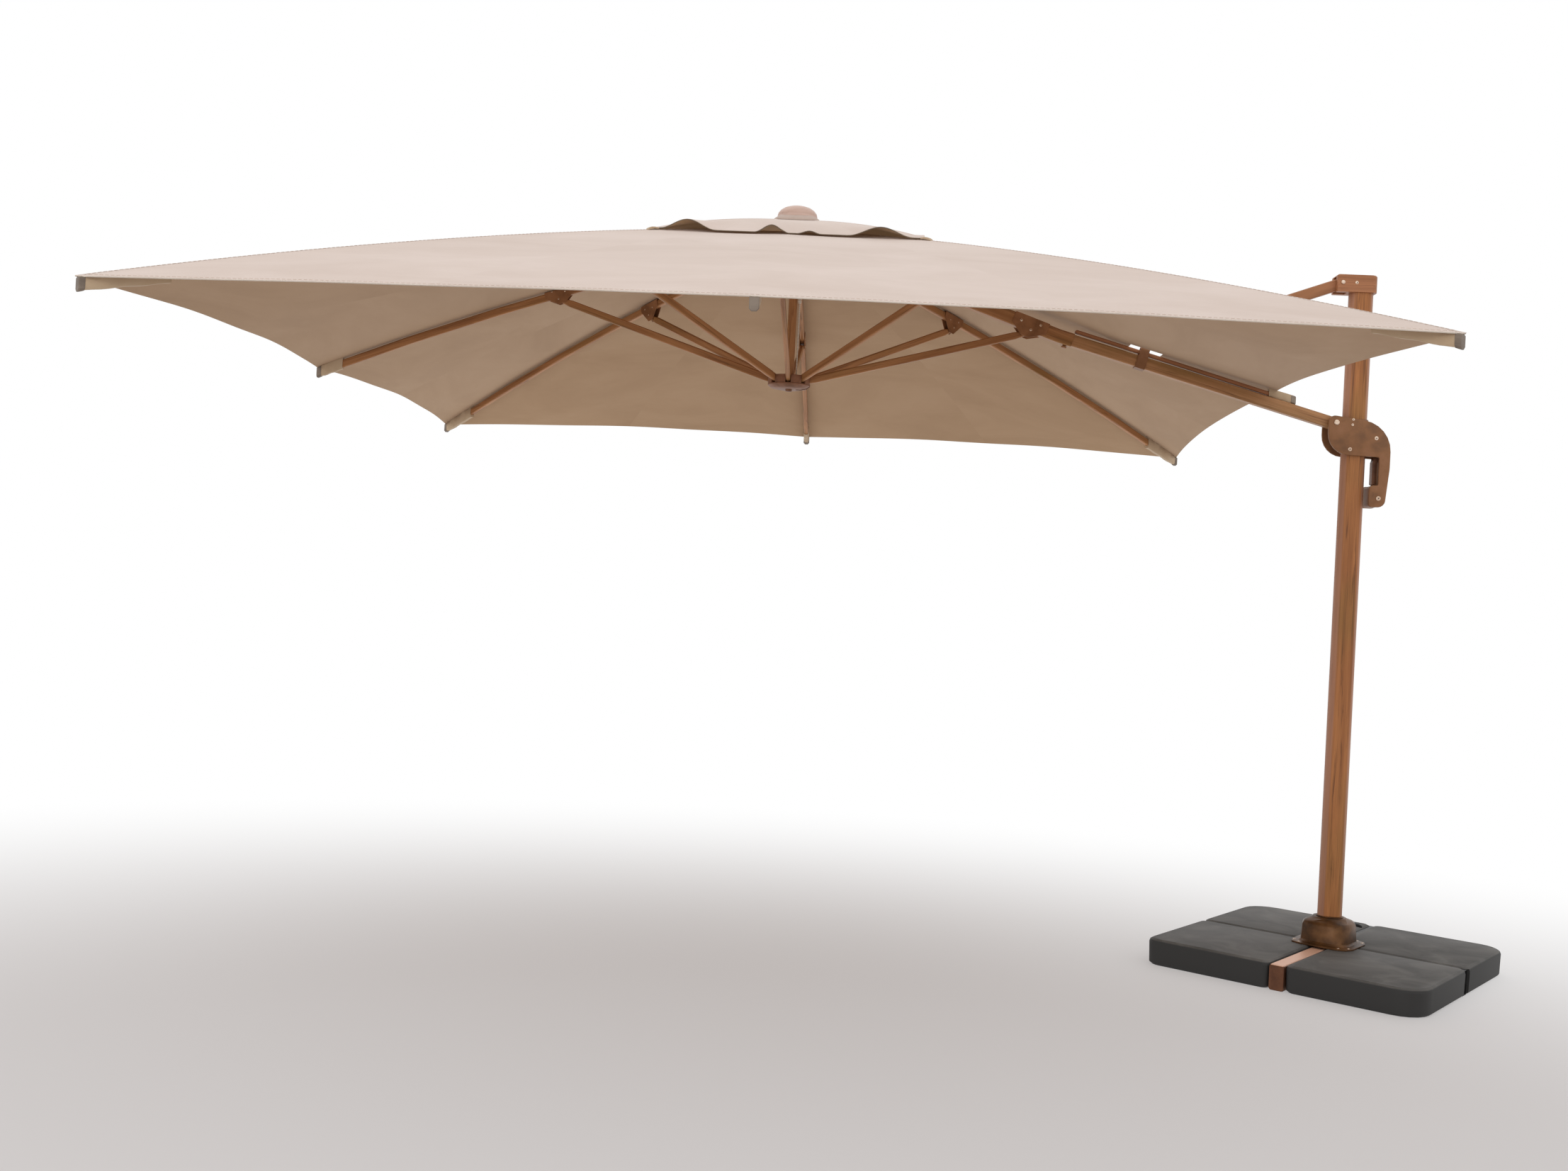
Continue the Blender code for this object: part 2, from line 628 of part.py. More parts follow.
def build_rib(name, degrees, corner):
    across = UP.cross(direction(degrees))
    tip = (CANOPY_HALF - 0.012) * (CORNER_REACH if corner else 1.0)
    hub_end = at(degrees, PIVOT_RADIUS, HUB_PIVOT_Z)
    stations = [(hub_end, RIB_WIDTH, 0.022), (rib_line(degrees, 0.10, corner), RIB_WIDTH, RIB_DEPTH)]
    steps = 5
    for k in range(1, steps + 1):
        radius = 0.10 + (tip - 0.10) * k / steps
        stations.append((rib_line(degrees, radius, corner), RIB_WIDTH, RIB_DEPTH))
    body_name = "rib_" + name
    piece("rib_" + name, bar(stations, 0.011, across, 0.0015), body_name, wood_bronze)

    radius, pin_z = CORNER_PIN if corner else MID_PIN
    pin = at(degrees, radius, pin_z)
    here, ahead = rib_line(degrees, radius, corner), rib_line(degrees, radius + 0.05, corner)
    along = (ahead - here).normalized()
    up = across.cross(along)
    if up.z < 0:
        up = -up
    centre = here + along * (pin - here).dot(along)
    drop = (centre - pin).dot(up)
    half = RIB_DEPTH / 2
    cheeks = [(-0.052, -half * 0.5), (-0.013, -drop - 0.012), (0.013, -drop - 0.012), (0.055, -half * 0.5)]
    bracket = channel(centre, along, up, cheeks, RIB_WIDTH / 2 + 0.0005, RIB_WIDTH / 2 + 0.003,
                      half + 0.0008, half + 0.0024)
    piece("bracket_" + name, bracket, body_name, cast_bronze)


def build_strut(name, degrees, pin):
    across = UP.cross(direction(degrees))
    start = at(degrees, *pin)
    end = at(degrees, PIVOT_RADIUS, RUNNER_PIVOT_Z)
    along = (end - start).normalized()
    stations = [
        (start, STRUT_WIDTH, 0.016), (start + along * 0.040, STRUT_WIDTH, STRUT_DEPTH),
        (end - along * 0.040, STRUT_WIDTH, STRUT_DEPTH), (end + along * 0.008, STRUT_WIDTH, 0.022),
    ]
    piece("strut_" + name, bar(stations, 0.008, across, 0.0015), "strut_" + name, wood_bronze)


def slotted(outer_radius, slot_floor, half_slot):
    """2D outline of a round hub with eight slots that open outwards."""
    outline = []
    for k in range(8):
        middle = math.radians(45 * k)
        reach = math.asin(half_slot / outer_radius)
        inner = math.asin(half_slot / slot_floor)
        for radius, angle in ((outer_radius, -reach), (slot_floor, -inner), (slot_floor, inner), (outer_radius, reach)):
            outline.append(Vector((radius * math.cos(middle + angle), radius * math.sin(middle + angle))))
        centre = middle + math.radians(22.5)
        outline.append(Vector((outer_radius * math.cos(centre), outer_radius * math.sin(centre))))
    return outline


def around_centre(outline, z):
    return [Vector((CENTRE_X + p.x, p.y, z)) for p in outline]


def build_hubs():
    crown = slotted(0.082, 0.046, RIB_WIDTH / 2 + 0.001)
    smaller = slotted(0.078, 0.046, RIB_WIDTH / 2 + 0.001)
    rings = [around_centre(smaller, 2.506), around_centre(crown, 2.510), around_centre(crown, 2.541)]
    piece("top_hub", loft(rings), "hub", cast_bronze)

    centre = Vector((CENTRE_X, 0, 0))
    crown_low, crown_high = RUNNER_PIVOT_Z - 0.0145, RUNNER_PIVOT_Z + 0.0145
    post = [(0.016, crown_high + 0.001), (0.016, 2.506 - GAP)]
    piece("centre_post", turned(post, centre, UP, 12), "hub", wood_bronze)
    finial = [(0.012, 2.541 + GAP), (0.012, 2.6065), (0.070, 2.6065), (0.070, 2.613), (0.060, 2.629),
              (0.040, 2.641), (0.016, 2.648)]
    piece("vent_finial", turned(finial, centre, UP, 24), "hub", cap_plastic)
    cord = [(0.0025, crown_high + 0.001), (0.0025, 2.506 - GAP)]
    piece("lift_cord", turned(cord, centre + Vector((0.025, -0.010, 0)), UP, 8), "hub", cord_white)

    crown = slotted(0.0775, 0.046, STRUT_WIDTH / 2 + 0.0015)
    rings = [around_centre(crown, crown_low), around_centre(crown, crown_high)]
    crown = piece("runner_crown", loft(rings), "runner", cast_bronze)
    dish = [(0.004, -0.0255), (0.011, -0.0245), (0.013, -0.0175), (0.045, -0.0175), (0.066, -0.013),
            (0.0775, -0.0045), (0.0775, -GAP)]
    dish = piece("runner_dish", turned(dish, centre + UP * crown_low, UP, 24), "runner", cast_bronze)
    # The boom's strut is shorter than its arm, so its end dips and shifts inwards while it folds.
    half_slot = STRUT_WIDTH / 2 + 0.0015
    low = Vector((0.026, -half_slot, -0.030))
    high = Vector((0.090, half_slot, 0.045))
    notch = cutter("strut_notch", box(centre + UP * crown_low + low, centre + UP * crown_low + high), "runner")
    cut(crown, notch)
    cut(dish, notch)


def build_cloth():
    sizes = [OPENING_HALF, 0.60, 0.95, 1.30, 1.55, CANOPY_HALF]
    canopy = piece("canopy", cloth_solid(sizes, canopy_point, 8), "hub", canopy_cloth)
    # The lug and the arm's end come up through an opening over the boom.
    reach = Vector((0.058, 0.030, 0.15))
    cut(canopy, cutter("arm_opening", box(LUG_PIVOT - reach, LUG_PIVOT + reach), "hub"))
    vent_sizes = [0.020, 0.12, 0.25, 0.36, VENT_HALF]
    piece("vent_canopy", cloth_solid(vent_sizes, vent_point, 1), "hub", canopy_cloth)


# ---------------------------------------------------------------- assembly
def build_bodies():
    body("base", (0, 0, 0))
    body("pedal", direction(38) * 0.104 + UP * 0.146, "base")
    body("mast", (0, 0, 0), "base")
    body("arm", CAP_PIVOT, "mast")
    body("boom", LUG_PIVOT, "arm")
    body("slider", SLIDER_PIVOT, "boom")
    body("trigger", (0.0830, 0, 1.8225), "slider")
    body("hub", at(0, PIVOT_RADIUS, HUB_PIVOT_Z), "boom")
    for name, degrees in {**MID_RIBS, **CORNER_RIBS}.items():
        body("rib_" + name, at(degrees, PIVOT_RADIUS, HUB_PIVOT_Z), "hub")
        pin = MID_PIN if name in MID_RIBS else CORNER_PIN
        body("strut_" + name, at(degrees, *pin), "rib_" + name)
    body("strut_boom", at(0, *BOOM_PIN), "boom")
    body("runner", at(180, PIVOT_RADIUS, RUNNER_PIVOT_Z), "strut_left")


clear_scene()
build_bodies()
build_base()
build_mast()
build_slider()
build_arms()
for rib_name, rib_degrees in MID_RIBS.items():
    build_rib(rib_name, rib_degrees, False)
    build_strut(rib_name, rib_degrees, MID_PIN)
for rib_name, rib_degrees in CORNER_RIBS.items():
    build_rib(rib_name, rib_degrees, True)
    build_strut(rib_name, rib_degrees, CORNER_PIN)
build_strut("boom", 0, BOOM_PIN)
build_hubs()
build_cloth()
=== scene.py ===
# %% [markdown]
# A side-post patio umbrella, dressed over its engineering model.
#
# The engineering model (the "frame") already holds every tube, casting and hinge in its true
# place. Here it gets its looks: wood-effect tubes, cast fittings, bolts, moulded slabs and, above
# all, the cloth. Every new piece rides on one of the frame's bodies, so that the umbrella still
# folds, and stands for the plain solid that it hides.

import json
import math

import bmesh
import bpy
import numpy as np
from mathutils import Matrix, Vector


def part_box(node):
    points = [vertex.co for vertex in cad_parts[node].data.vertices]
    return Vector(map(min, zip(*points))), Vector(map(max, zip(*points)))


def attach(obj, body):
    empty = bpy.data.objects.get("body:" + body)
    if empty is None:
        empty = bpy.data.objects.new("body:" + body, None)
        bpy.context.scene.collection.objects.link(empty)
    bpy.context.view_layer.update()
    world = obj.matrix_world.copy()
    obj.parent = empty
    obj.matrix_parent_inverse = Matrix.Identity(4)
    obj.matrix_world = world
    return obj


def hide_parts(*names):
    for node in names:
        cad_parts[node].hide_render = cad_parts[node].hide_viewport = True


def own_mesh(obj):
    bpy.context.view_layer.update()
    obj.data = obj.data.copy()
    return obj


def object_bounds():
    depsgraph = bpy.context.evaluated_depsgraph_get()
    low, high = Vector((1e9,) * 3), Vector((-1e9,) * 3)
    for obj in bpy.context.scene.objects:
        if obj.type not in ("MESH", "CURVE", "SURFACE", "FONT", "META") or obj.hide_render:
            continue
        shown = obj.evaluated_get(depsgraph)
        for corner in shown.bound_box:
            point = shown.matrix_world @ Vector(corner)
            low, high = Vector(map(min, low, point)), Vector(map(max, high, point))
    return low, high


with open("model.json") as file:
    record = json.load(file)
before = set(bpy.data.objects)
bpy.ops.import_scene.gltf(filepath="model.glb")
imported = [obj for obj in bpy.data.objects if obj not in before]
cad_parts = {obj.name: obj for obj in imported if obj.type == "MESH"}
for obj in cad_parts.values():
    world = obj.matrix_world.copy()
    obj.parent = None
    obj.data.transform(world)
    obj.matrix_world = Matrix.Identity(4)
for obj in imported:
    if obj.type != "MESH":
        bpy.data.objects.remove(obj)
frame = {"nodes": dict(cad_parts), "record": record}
cad_low, cad_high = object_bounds()
scene = bpy.context.scene

# %% [markdown]
# The camera stands at eye level in front of the umbrella and turns slightly towards the mast. Its
# direction is worked out from three angles, because a camera matrix is just its right, up and
# backward directions side by side.

# %% Camera
CAMERA_PLACE = Vector((-1.718, -5.584, 1.262))
CAMERA_LENS = 35.22
CAMERA_YAW, CAMERA_PITCH, CAMERA_ROLL = math.radians(-3.00), math.radians(0.06), math.radians(2.92)

looking = Vector((
    math.sin(CAMERA_YAW) * math.cos(CAMERA_PITCH),
    math.cos(CAMERA_YAW) * math.cos(CAMERA_PITCH),
    math.sin(CAMERA_PITCH),
))
level_right = Vector((math.cos(CAMERA_YAW), -math.sin(CAMERA_YAW), 0))
level_up = level_right.cross(looking)
right = level_right * math.cos(CAMERA_ROLL) + level_up * math.sin(CAMERA_ROLL)
up = level_up * math.cos(CAMERA_ROLL) - level_right * math.sin(CAMERA_ROLL)
camera_data = bpy.data.cameras.new("camera")
camera_data.lens = CAMERA_LENS
camera_data.sensor_width = 36
camera_data.clip_end = 60
camera = bpy.data.objects.new("camera", camera_data)
scene.collection.objects.link(camera)
camera.matrix_world = Matrix.Translation(CAMERA_PLACE) @ Matrix((right, up, -looking)).transposed().to_4x4()
scene.camera = camera
print("camera at", tuple(round(v, 2) for v in CAMERA_PLACE))

# %% [markdown]
# A studio sweep: a pale floor that runs into a blown-out white background. The world is white and
# does most of the lighting. A weak, broad lamp overhead lifts the cloth's top, and a smaller one
# in front, to the left, fills the faces turned to the camera. The floor's grey patch is painted shade,
# and its fade to white is painted light. Part of the floor's brightness is its own glow, which keeps the
# canopy's shadow on it pale.

# %% Studio
def paint(red, green, blue):
    """Display values from 0 to 255 as the linear colour that a shader wants."""
    values = (red / 255, green / 255, blue / 255)
    return [v / 12.92 if v <= 0.04045 else ((v + 0.055) / 1.055) ** 2.4 for v in values] + [1]


def node(tree, kind, **values):
    """A shader or geometry node, with its settings and its inputs set by name."""
    made = tree.nodes.new(kind)
    for name, value in values.items():
        if hasattr(made, name):
            setattr(made, name, value)
        else:
            made.inputs[name.replace("_", " ")].default_value = value
    return made


scene.view_settings.view_transform = "Standard"
world = bpy.data.worlds.new("studio_air")
scene.world = world
world.use_nodes = True
world.node_tree.nodes["Background"].inputs["Color"].default_value = (1, 1, 1, 1)
world.node_tree.nodes["Background"].inputs["Strength"].default_value = 1.0

floor_mesh = bpy.data.meshes.new("studio_floor")
FLOOR_NEAR, FLOOR_FAR, FLOOR_SIDE = -12.0, 30.0, 30.0
FLOOR_SHADE_MIDDLE = (-1.9, -3.0)  # the middle of the floor's patch of painted shade
PATCH_FROM, PATCH_TO = 2.3, 6.3  # round it the painted shade fades to painted white light between these distances
OWN_LIGHT = 0.45  # how much of the floor's brightness is its own
floor_corners = [(-FLOOR_SIDE, FLOOR_NEAR, 0), (FLOOR_SIDE, FLOOR_NEAR, 0),
                 (FLOOR_SIDE, FLOOR_FAR, 0), (-FLOOR_SIDE, FLOOR_FAR, 0)]
floor_mesh.from_pydata(floor_corners, [], [(0, 1, 2, 3)])
studio_floor = bpy.data.objects.new("studio_floor", floor_mesh)
scene.collection.objects.link(studio_floor)
studio_floor.location.z = cad_low.z - 0.0005

floor_finish = bpy.data.materials.new("studio_floor")
floor_finish.use_nodes = True
tree = floor_finish.node_tree
shader = tree.nodes["Principled BSDF"]
shader.inputs["Base Color"].default_value = paint(212, 208, 207)
shader.inputs["Roughness"].default_value = 0.75
shader.inputs["Specular IOR Level"].default_value = 0.2
place = node(tree, "ShaderNodeTexCoord")
distance = node(tree, "ShaderNodeVectorMath", operation="LENGTH")
shift = node(tree, "ShaderNodeVectorMath", operation="ADD")
shift.inputs[1].default_value = (-FLOOR_SHADE_MIDDLE[0], -FLOOR_SHADE_MIDDLE[1], 0)
tree.links.new(place.outputs["Object"], shift.inputs[0])
tree.links.new(shift.outputs["Vector"], distance.inputs[0])
fade = node(tree, "ShaderNodeMapRange", interpolation_type="SMOOTHSTEP")
fade.inputs["From Min"].default_value = PATCH_FROM
fade.inputs["From Max"].default_value = PATCH_TO
tree.links.new(distance.outputs["Value"], fade.inputs["Value"])
# Painted light: away from the patch the floor turns into plain white emission.
bright = node(tree, "ShaderNodeEmission")
bright.inputs["Color"].default_value = (1, 1, 1, 1)
even = node(tree, "ShaderNodeEmission")
even.inputs["Color"].default_value = paint(203, 199, 198)
softened = node(tree, "ShaderNodeMixShader")
softened.inputs[0].default_value = OWN_LIGHT
tree.links.new(shader.outputs["BSDF"], softened.inputs[1])
tree.links.new(even.outputs["Emission"], softened.inputs[2])
mix = node(tree, "ShaderNodeMixShader")
tree.links.new(fade.outputs["Result"], mix.inputs[0])
tree.links.new(softened.outputs["Shader"], mix.inputs[1])
tree.links.new(bright.outputs["Emission"], mix.inputs[2])
tree.links.new(mix.outputs["Shader"], tree.nodes["Material Output"].inputs["Surface"])
floor_mesh.materials.append(floor_finish)


def soft_light(name, place, target, size, power):
    """A white square lamp that points at a target."""
    data = bpy.data.lights.new(name, "AREA")
    data.shape = "SQUARE"
    data.size = size
    data.energy = power
    lamp = bpy.data.objects.new(name, data)
    scene.collection.objects.link(lamp)
    lamp.location = place
    lamp.rotation_mode = "QUATERNION"
    lamp.rotation_quaternion = (Vector(target) - Vector(place)).to_track_quat("-Z", "Y")


soft_light("overhead", (-2.2, 1.6, 5.6), (-2.0, -0.2, 1.0), 4.5, 14)
soft_light("front_fill", (-4.0, -7.5, 3.2), (-1.0, 0, 1.2), 2.0, 60)
print("studio: white world, one overhead lamp and one fill")

# %% [markdown]
# The tubes are aluminium with a printed wood grain, so the pattern must run along each tube,
# whichever way that tube points. Each tube carries an attribute, "grain", with its own
# coordinates: metres along the tube, then metres across it both ways. The material stretches its
# noise along the first one. A casting has no grain: its colour only clouds a little. The long
# tube of the base is paler on its top face, a painted highlight, and near black in the gap behind the mast,
# painted shade.

# %% Finishes for tubes and castings
def finish(name, roughness, metallic=0.0, specular=0.5, coat=0.0, coat_roughness=0.2):
    made = bpy.data.materials.new(name)
    made.use_nodes = True
    shader = made.node_tree.nodes["Principled BSDF"]
    shader.inputs["Roughness"].default_value = roughness
    shader.inputs["Metallic"].default_value = metallic
    shader.inputs["Specular IOR Level"].default_value = specular
    shader.inputs["Coat Weight"].default_value = coat
    shader.inputs["Coat Roughness"].default_value = coat_roughness
    return made, made.node_tree, shader


def stretched(tree, source, scale):
    """Texture coordinates multiplied by a different number each way."""
    made = node(tree, "ShaderNodeMapping")
    made.inputs["Scale"].default_value = scale
    tree.links.new(source, made.inputs["Vector"])
    return made.outputs["Vector"]


def cloud(tree, where, scale, detail=4.0, roughness=0.5, distortion=0.0):
    made = node(tree, "ShaderNodeTexNoise", Scale=scale, Detail=detail, Roughness=roughness,
                Distortion=distortion)
    tree.links.new(where, made.inputs["Vector"])
    return made.outputs["Fac"]


def ramp(tree, value, *stops):
    """A colour ramp from (position, colour) stops."""
    made = node(tree, "ShaderNodeValToRGB")
    elements = made.color_ramp.elements
    while len(elements) < len(stops):
        elements.new(0.5)
    for element, (position, colour) in zip(elements, stops):
        element.position = position
        element.color = colour
    tree.links.new(value, made.inputs["Fac"])
    return made.outputs["Color"]


def mixed(tree, share, first, second, kind="MIX"):
    """Two colours mixed by a share; each is a socket or a plain colour."""
    made = node(tree, "ShaderNodeMix", data_type="RGBA", blend_type=kind)
    for socket, value in ((made.inputs[0], share), (made.inputs[6], first), (made.inputs[7], second)):
        if isinstance(value, bpy.types.NodeSocket):
            tree.links.new(value, socket)
        else:
            socket.default_value = value
    return made.outputs[2]


def bumps(tree, shader, height, strength, reach):
    made = node(tree, "ShaderNodeBump", Strength=strength, Distance=reach)
    tree.links.new(height, made.inputs["Height"])
    tree.links.new(made.outputs["Normal"], shader.inputs["Normal"])


def wood_effect(name, pale, middle, dark, olive, edge_highlight=None, streaks=0.85):
    """A printed wood grain, with dark streaks, olive clouds, paler sides as a painted highlight, and a satin
    lacquer.
    """
    made, tree, shader = finish(name, 0.46, metallic=0.1, specular=0.3, coat=0.05)
    grain = node(tree, "ShaderNodeAttribute", attribute_name="grain").outputs["Vector"]
    broad = cloud(tree, stretched(tree, grain, (1.3, 26, 26)), 1.0, 3, 0.5, 0.6)
    fine = cloud(tree, stretched(tree, grain, (7, 330, 330)), 1.0, 5, 0.6, 0.4)
    streak = cloud(tree, stretched(tree, grain, (3.2, 95, 95)), 1.0, 4, 0.65, 1.2)
    patch = cloud(tree, stretched(tree, grain, (2.1, 9, 9)), 1.0, 2)
    colour = ramp(tree, broad, (0.32, middle), (0.55, pale), (0.72, middle))
    for noise, low, high, most, tint in ((streak, 0.52, 0.70, streaks, dark), (patch, 0.52, 0.72, 0.55, olive),
                                         (fine, 0.45, 0.75, 0.35, dark)):
        share = ramp(tree, noise, (low, (0, 0, 0, 1)), (high, (most,) * 3 + (1,)))
        colour = mixed(tree, share, colour, tint)
    if edge_highlight:
        # Painted highlight: towards the mast's sides the colour turns paler, for the light that its edges
        # catch.
        split = node(tree, "ShaderNodeSeparateXYZ")
        tree.links.new(node(tree, "ShaderNodeTexCoord").outputs["Object"], split.inputs[0])
        beside = node(tree, "ShaderNodeMath", operation="ABSOLUTE")
        tree.links.new(split.outputs["X"], beside.inputs[0])
        edge = node(tree, "ShaderNodeMapRange")
        edge.inputs["From Min"].default_value = EDGE_HIGHLIGHT_FROM
        edge.inputs["From Max"].default_value = EDGE_HIGHLIGHT_FROM + 0.005
        edge.inputs["To Max"].default_value = 0.62
        tree.links.new(beside.outputs[0], edge.inputs["Value"])
        colour = mixed(tree, edge.outputs["Result"], colour, edge_highlight)
    tree.links.new(colour, shader.inputs["Base Color"])
    bumps(tree, shader, fine, 0.06, 0.0004)
    return made


def cast_effect(name, base, pale, dark, roughness=0.38, metallic=0.3, top=None, shade_towards=(0, 0, 0)):
    """A satin coated casting: soft clouds, a fine orange-peel surface and, if top is given, a painted
    highlight above that height and painted shade on the side that the last argument points to.
    """
    made, tree, shader = finish(name, roughness, metallic=metallic, specular=0.22, coat=0.03)
    where = node(tree, "ShaderNodeTexCoord").outputs["Object"]
    broad = cloud(tree, where, 14, 4, 0.55)
    peel = cloud(tree, where, 900, 2)
    colour = ramp(tree, broad, (0.35, dark), (0.5, base), (0.68, pale))
    if top:
        # Painted highlight: above the height top the colour turns pale pink, for the light falling on the top
        # face.
        split = node(tree, "ShaderNodeSeparateXYZ")
        tree.links.new(where, split.inputs[0])
        above = node(tree, "ShaderNodeMath", operation="GREATER_THAN")
        above.inputs[1].default_value = top
        tree.links.new(split.outputs["Z"], above.inputs[0])
        colour = mixed(tree, above.outputs[0], colour, paint(214, 168, 142))
        # In the narrow gap between the slabs behind the mast the tube gets painted shade, near black.
        behind = node(tree, "ShaderNodeVectorMath", operation="DOT_PRODUCT")
        behind.inputs[1].default_value = shade_towards
        tree.links.new(where, behind.inputs[0])
        hidden = node(tree, "ShaderNodeMath", operation="GREATER_THAN")
        hidden.inputs[1].default_value = SHADE_FROM
        tree.links.new(behind.outputs["Value"], hidden.inputs[0])
        colour = mixed(tree, hidden.outputs[0], colour, paint(30, 27, 25))
    tree.links.new(colour, shader.inputs["Base Color"])
    bumps(tree, shader, peel, 0.10, 0.0004)
    return made


EDGE_HIGHLIGHT_FROM = 0.026  # the oval mast starts to turn away here, and its painted edge highlight begins
SHADE_FROM = 0.03  # this far behind the mast's axis the long tube gets painted shade
mast_wood = wood_effect("mast_wood", paint(172, 112, 64), paint(142, 88, 48), paint(92, 54, 30),
                        paint(124, 94, 44), edge_highlight=paint(164, 122, 102))
tube_wood = wood_effect("tube_wood", paint(178, 130, 88), paint(152, 106, 66), paint(96, 62, 38),
                        paint(134, 106, 54))
frame_wood = wood_effect("frame_wood", paint(176, 124, 80), paint(148, 98, 58), paint(98, 62, 36),
                         paint(134, 102, 52))
cap_wood = wood_effect("cap_wood", paint(168, 112, 76), paint(148, 96, 62), paint(112, 70, 44),
                       paint(136, 94, 56), streaks=0.4)
slider_bronze = cast_effect("slider_bronze", paint(134, 93, 62), paint(144, 101, 72), paint(116, 81, 56),
                            0.48, 0.1)
lever_bronze = cast_effect("lever_bronze", paint(108, 72, 52), paint(122, 84, 62), paint(88, 58, 42))
base_bronze = cast_effect("base_bronze", paint(84, 54, 27), paint(112, 76, 44), paint(58, 37, 19), 0.40, 0.3)
fitting_bronze = cast_effect("fitting_bronze", paint(146, 100, 66), paint(160, 112, 76), paint(122, 82, 52),
                             0.5, 0.1)
hub_bronze = cast_effect("hub_bronze", paint(132, 90, 66), paint(148, 104, 78), paint(108, 72, 50), 0.5, 0.1)
# The long tube gets a painted highlight on its top face and painted shade towards its back end.
to_the_back = sum(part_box("cross_end_cap_back"), Vector()).normalized()
cross_bronze = cast_effect("cross_bronze", paint(104, 68, 48), paint(122, 84, 62), paint(84, 54, 38), 0.40,
                           top=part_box("cross_tube_long")[1].z - 0.002, shade_towards=to_the_back)
print("finishes: 4 wood effects and 6 castings")

# %% [markdown]
# The slabs are rotationally moulded plastic, matt and slightly mottled by dust. Bolts are bright
# plated steel. The pedal is black. The short tubes between the slabs are black too: painted shade for the gaps
# that they lie in.

# %% Finishes for slabs, bolts and small plastics
def moulded(name, base, dusty, dark, roughness, grain=420, top=None):
    made, tree, shader = finish(name, roughness, specular=0.3)
    where = node(tree, "ShaderNodeTexCoord").outputs["Object"]
    dust = cloud(tree, stretched(tree, where, (1, 1, 3)), 5.5, 5, 0.6, 0.8)
    colour = ramp(tree, dust, (0.30, dark), (0.50, base), (0.72, dusty))
    if top:
        # Below the top face's rounded edge the sides are set dark grey: painted shade on the steep faces.
        split = node(tree, "ShaderNodeSeparateXYZ")
        tree.links.new(where, split.inputs[0])
        height = node(tree, "ShaderNodeMapRange")
        height.inputs["From Min"].default_value = top - 0.008
        height.inputs["From Max"].default_value = top - 0.004
        tree.links.new(split.outputs["Z"], height.inputs["Value"])
        colour = mixed(tree, height.outputs["Result"], paint(46, 45, 44), colour)
    tree.links.new(colour, shader.inputs["Base Color"])
    bumps(tree, shader, cloud(tree, where, grain, 3), 0.22, 0.0006)
    return made


slab_plastic = moulded("slab_plastic", paint(80, 77, 74), paint(98, 95, 91), paint(64, 62, 59), 0.62,
                       top=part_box("weight_left")[1].z)
black_plastic = moulded("black_plastic", paint(34, 33, 33), paint(46, 45, 44), paint(24, 24, 24), 0.45, 900)
tip_plastic = moulded("tip_plastic", paint(118, 104, 92), paint(138, 124, 110), paint(94, 82, 72), 0.5, 900)
thread = moulded("thread", paint(196, 178, 164), paint(208, 192, 178), paint(184, 166, 150), 0.8, 2400)
finial_plastic = moulded("finial_plastic", paint(190, 160, 146), paint(204, 176, 162), paint(172, 142, 128),
                         0.42, 700)

bolt_steel, tree, shader = finish("bolt_steel", 0.3, metallic=0.85)
where = node(tree, "ShaderNodeTexCoord").outputs["Object"]
tree.links.new(
    ramp(tree, cloud(tree, where, 160, 3), (0.35, paint(190, 160, 136)), (0.65, paint(236, 214, 194))),
    shader.inputs["Base Color"],
)
bumps(tree, shader, cloud(tree, where, 700, 2), 0.08, 0.0003)
print("finishes: slabs, black plastic, tips, thread, finial and bolts")

# %% [markdown]
# The cloth is a plain weave. Its pattern follows the cloth through a UV map in metres, so two
# sets of bands, one along u and one along v, make the threads. Larger, soft clouds stand for the
# slight unevenness of a dyed cloth. The top is pale sand. The underside is the same cloth seen
# without the light from above, and real ones have a darker coating there, so it has its own
# finish.

# %% Finishes for cloth
THREADS_PER_METRE = 900


def woven(name, base, pale, dark, roughness=0.85, sheen=0.15, painted_glow=0.0):
    made, tree, shader = finish(name, roughness, specular=0.2)
    shader.inputs["Sheen Weight"].default_value = sheen
    shader.inputs["Sheen Roughness"].default_value = 0.5
    flat = node(tree, "ShaderNodeUVMap", uv_map="cloth").outputs["UV"]
    heights = []
    for direction in ("X", "Y"):
        bands = node(tree, "ShaderNodeTexWave", wave_type="BANDS", bands_direction=direction,
                     Scale=THREADS_PER_METRE / 6.2, Distortion=0.6, Detail=1.0)
        tree.links.new(flat, bands.inputs["Vector"])
        heights.append(bands.outputs["Fac"])
    weave = node(tree, "ShaderNodeMath", operation="MULTIPLY")
    tree.links.new(heights[0], weave.inputs[0])
    tree.links.new(heights[1], weave.inputs[1])
    wash = cloud(tree, stretched(tree, flat, (1.6, 3.4, 1)), 1.0, 5, 0.62, 0.8)
    slub = cloud(tree, stretched(tree, flat, (9, 240, 1)), 1.0, 3, 0.6)
    colour = ramp(tree, wash, (0.30, dark), (0.52, base), (0.74, pale))
    colour = mixed(tree, ramp(tree, slub, (0.5, (0, 0, 0, 1)), (0.8, (0.25, 0.25, 0.25, 1))), colour, dark)
    colour = mixed(tree, 0.10, colour, mixed(tree, weave.outputs[0], dark, pale))
    tree.links.new(colour, shader.inputs["Base Color"])
    # Painted light: the cloth's own colour also glows by this strength, though no lamp is there.
    if painted_glow:
        tree.links.new(colour, shader.inputs["Emission Color"])
        shader.inputs["Emission Strength"].default_value = painted_glow
    bumps(tree, shader, weave.outputs[0], 0.25, 0.0005)
    return made


cloth_top = woven("cloth_top", paint(208, 190, 179), paint(215, 198, 188), paint(201, 182, 170))
cloth_under = woven("cloth_under", paint(170, 138, 106), paint(176, 145, 114), paint(162, 130, 98))
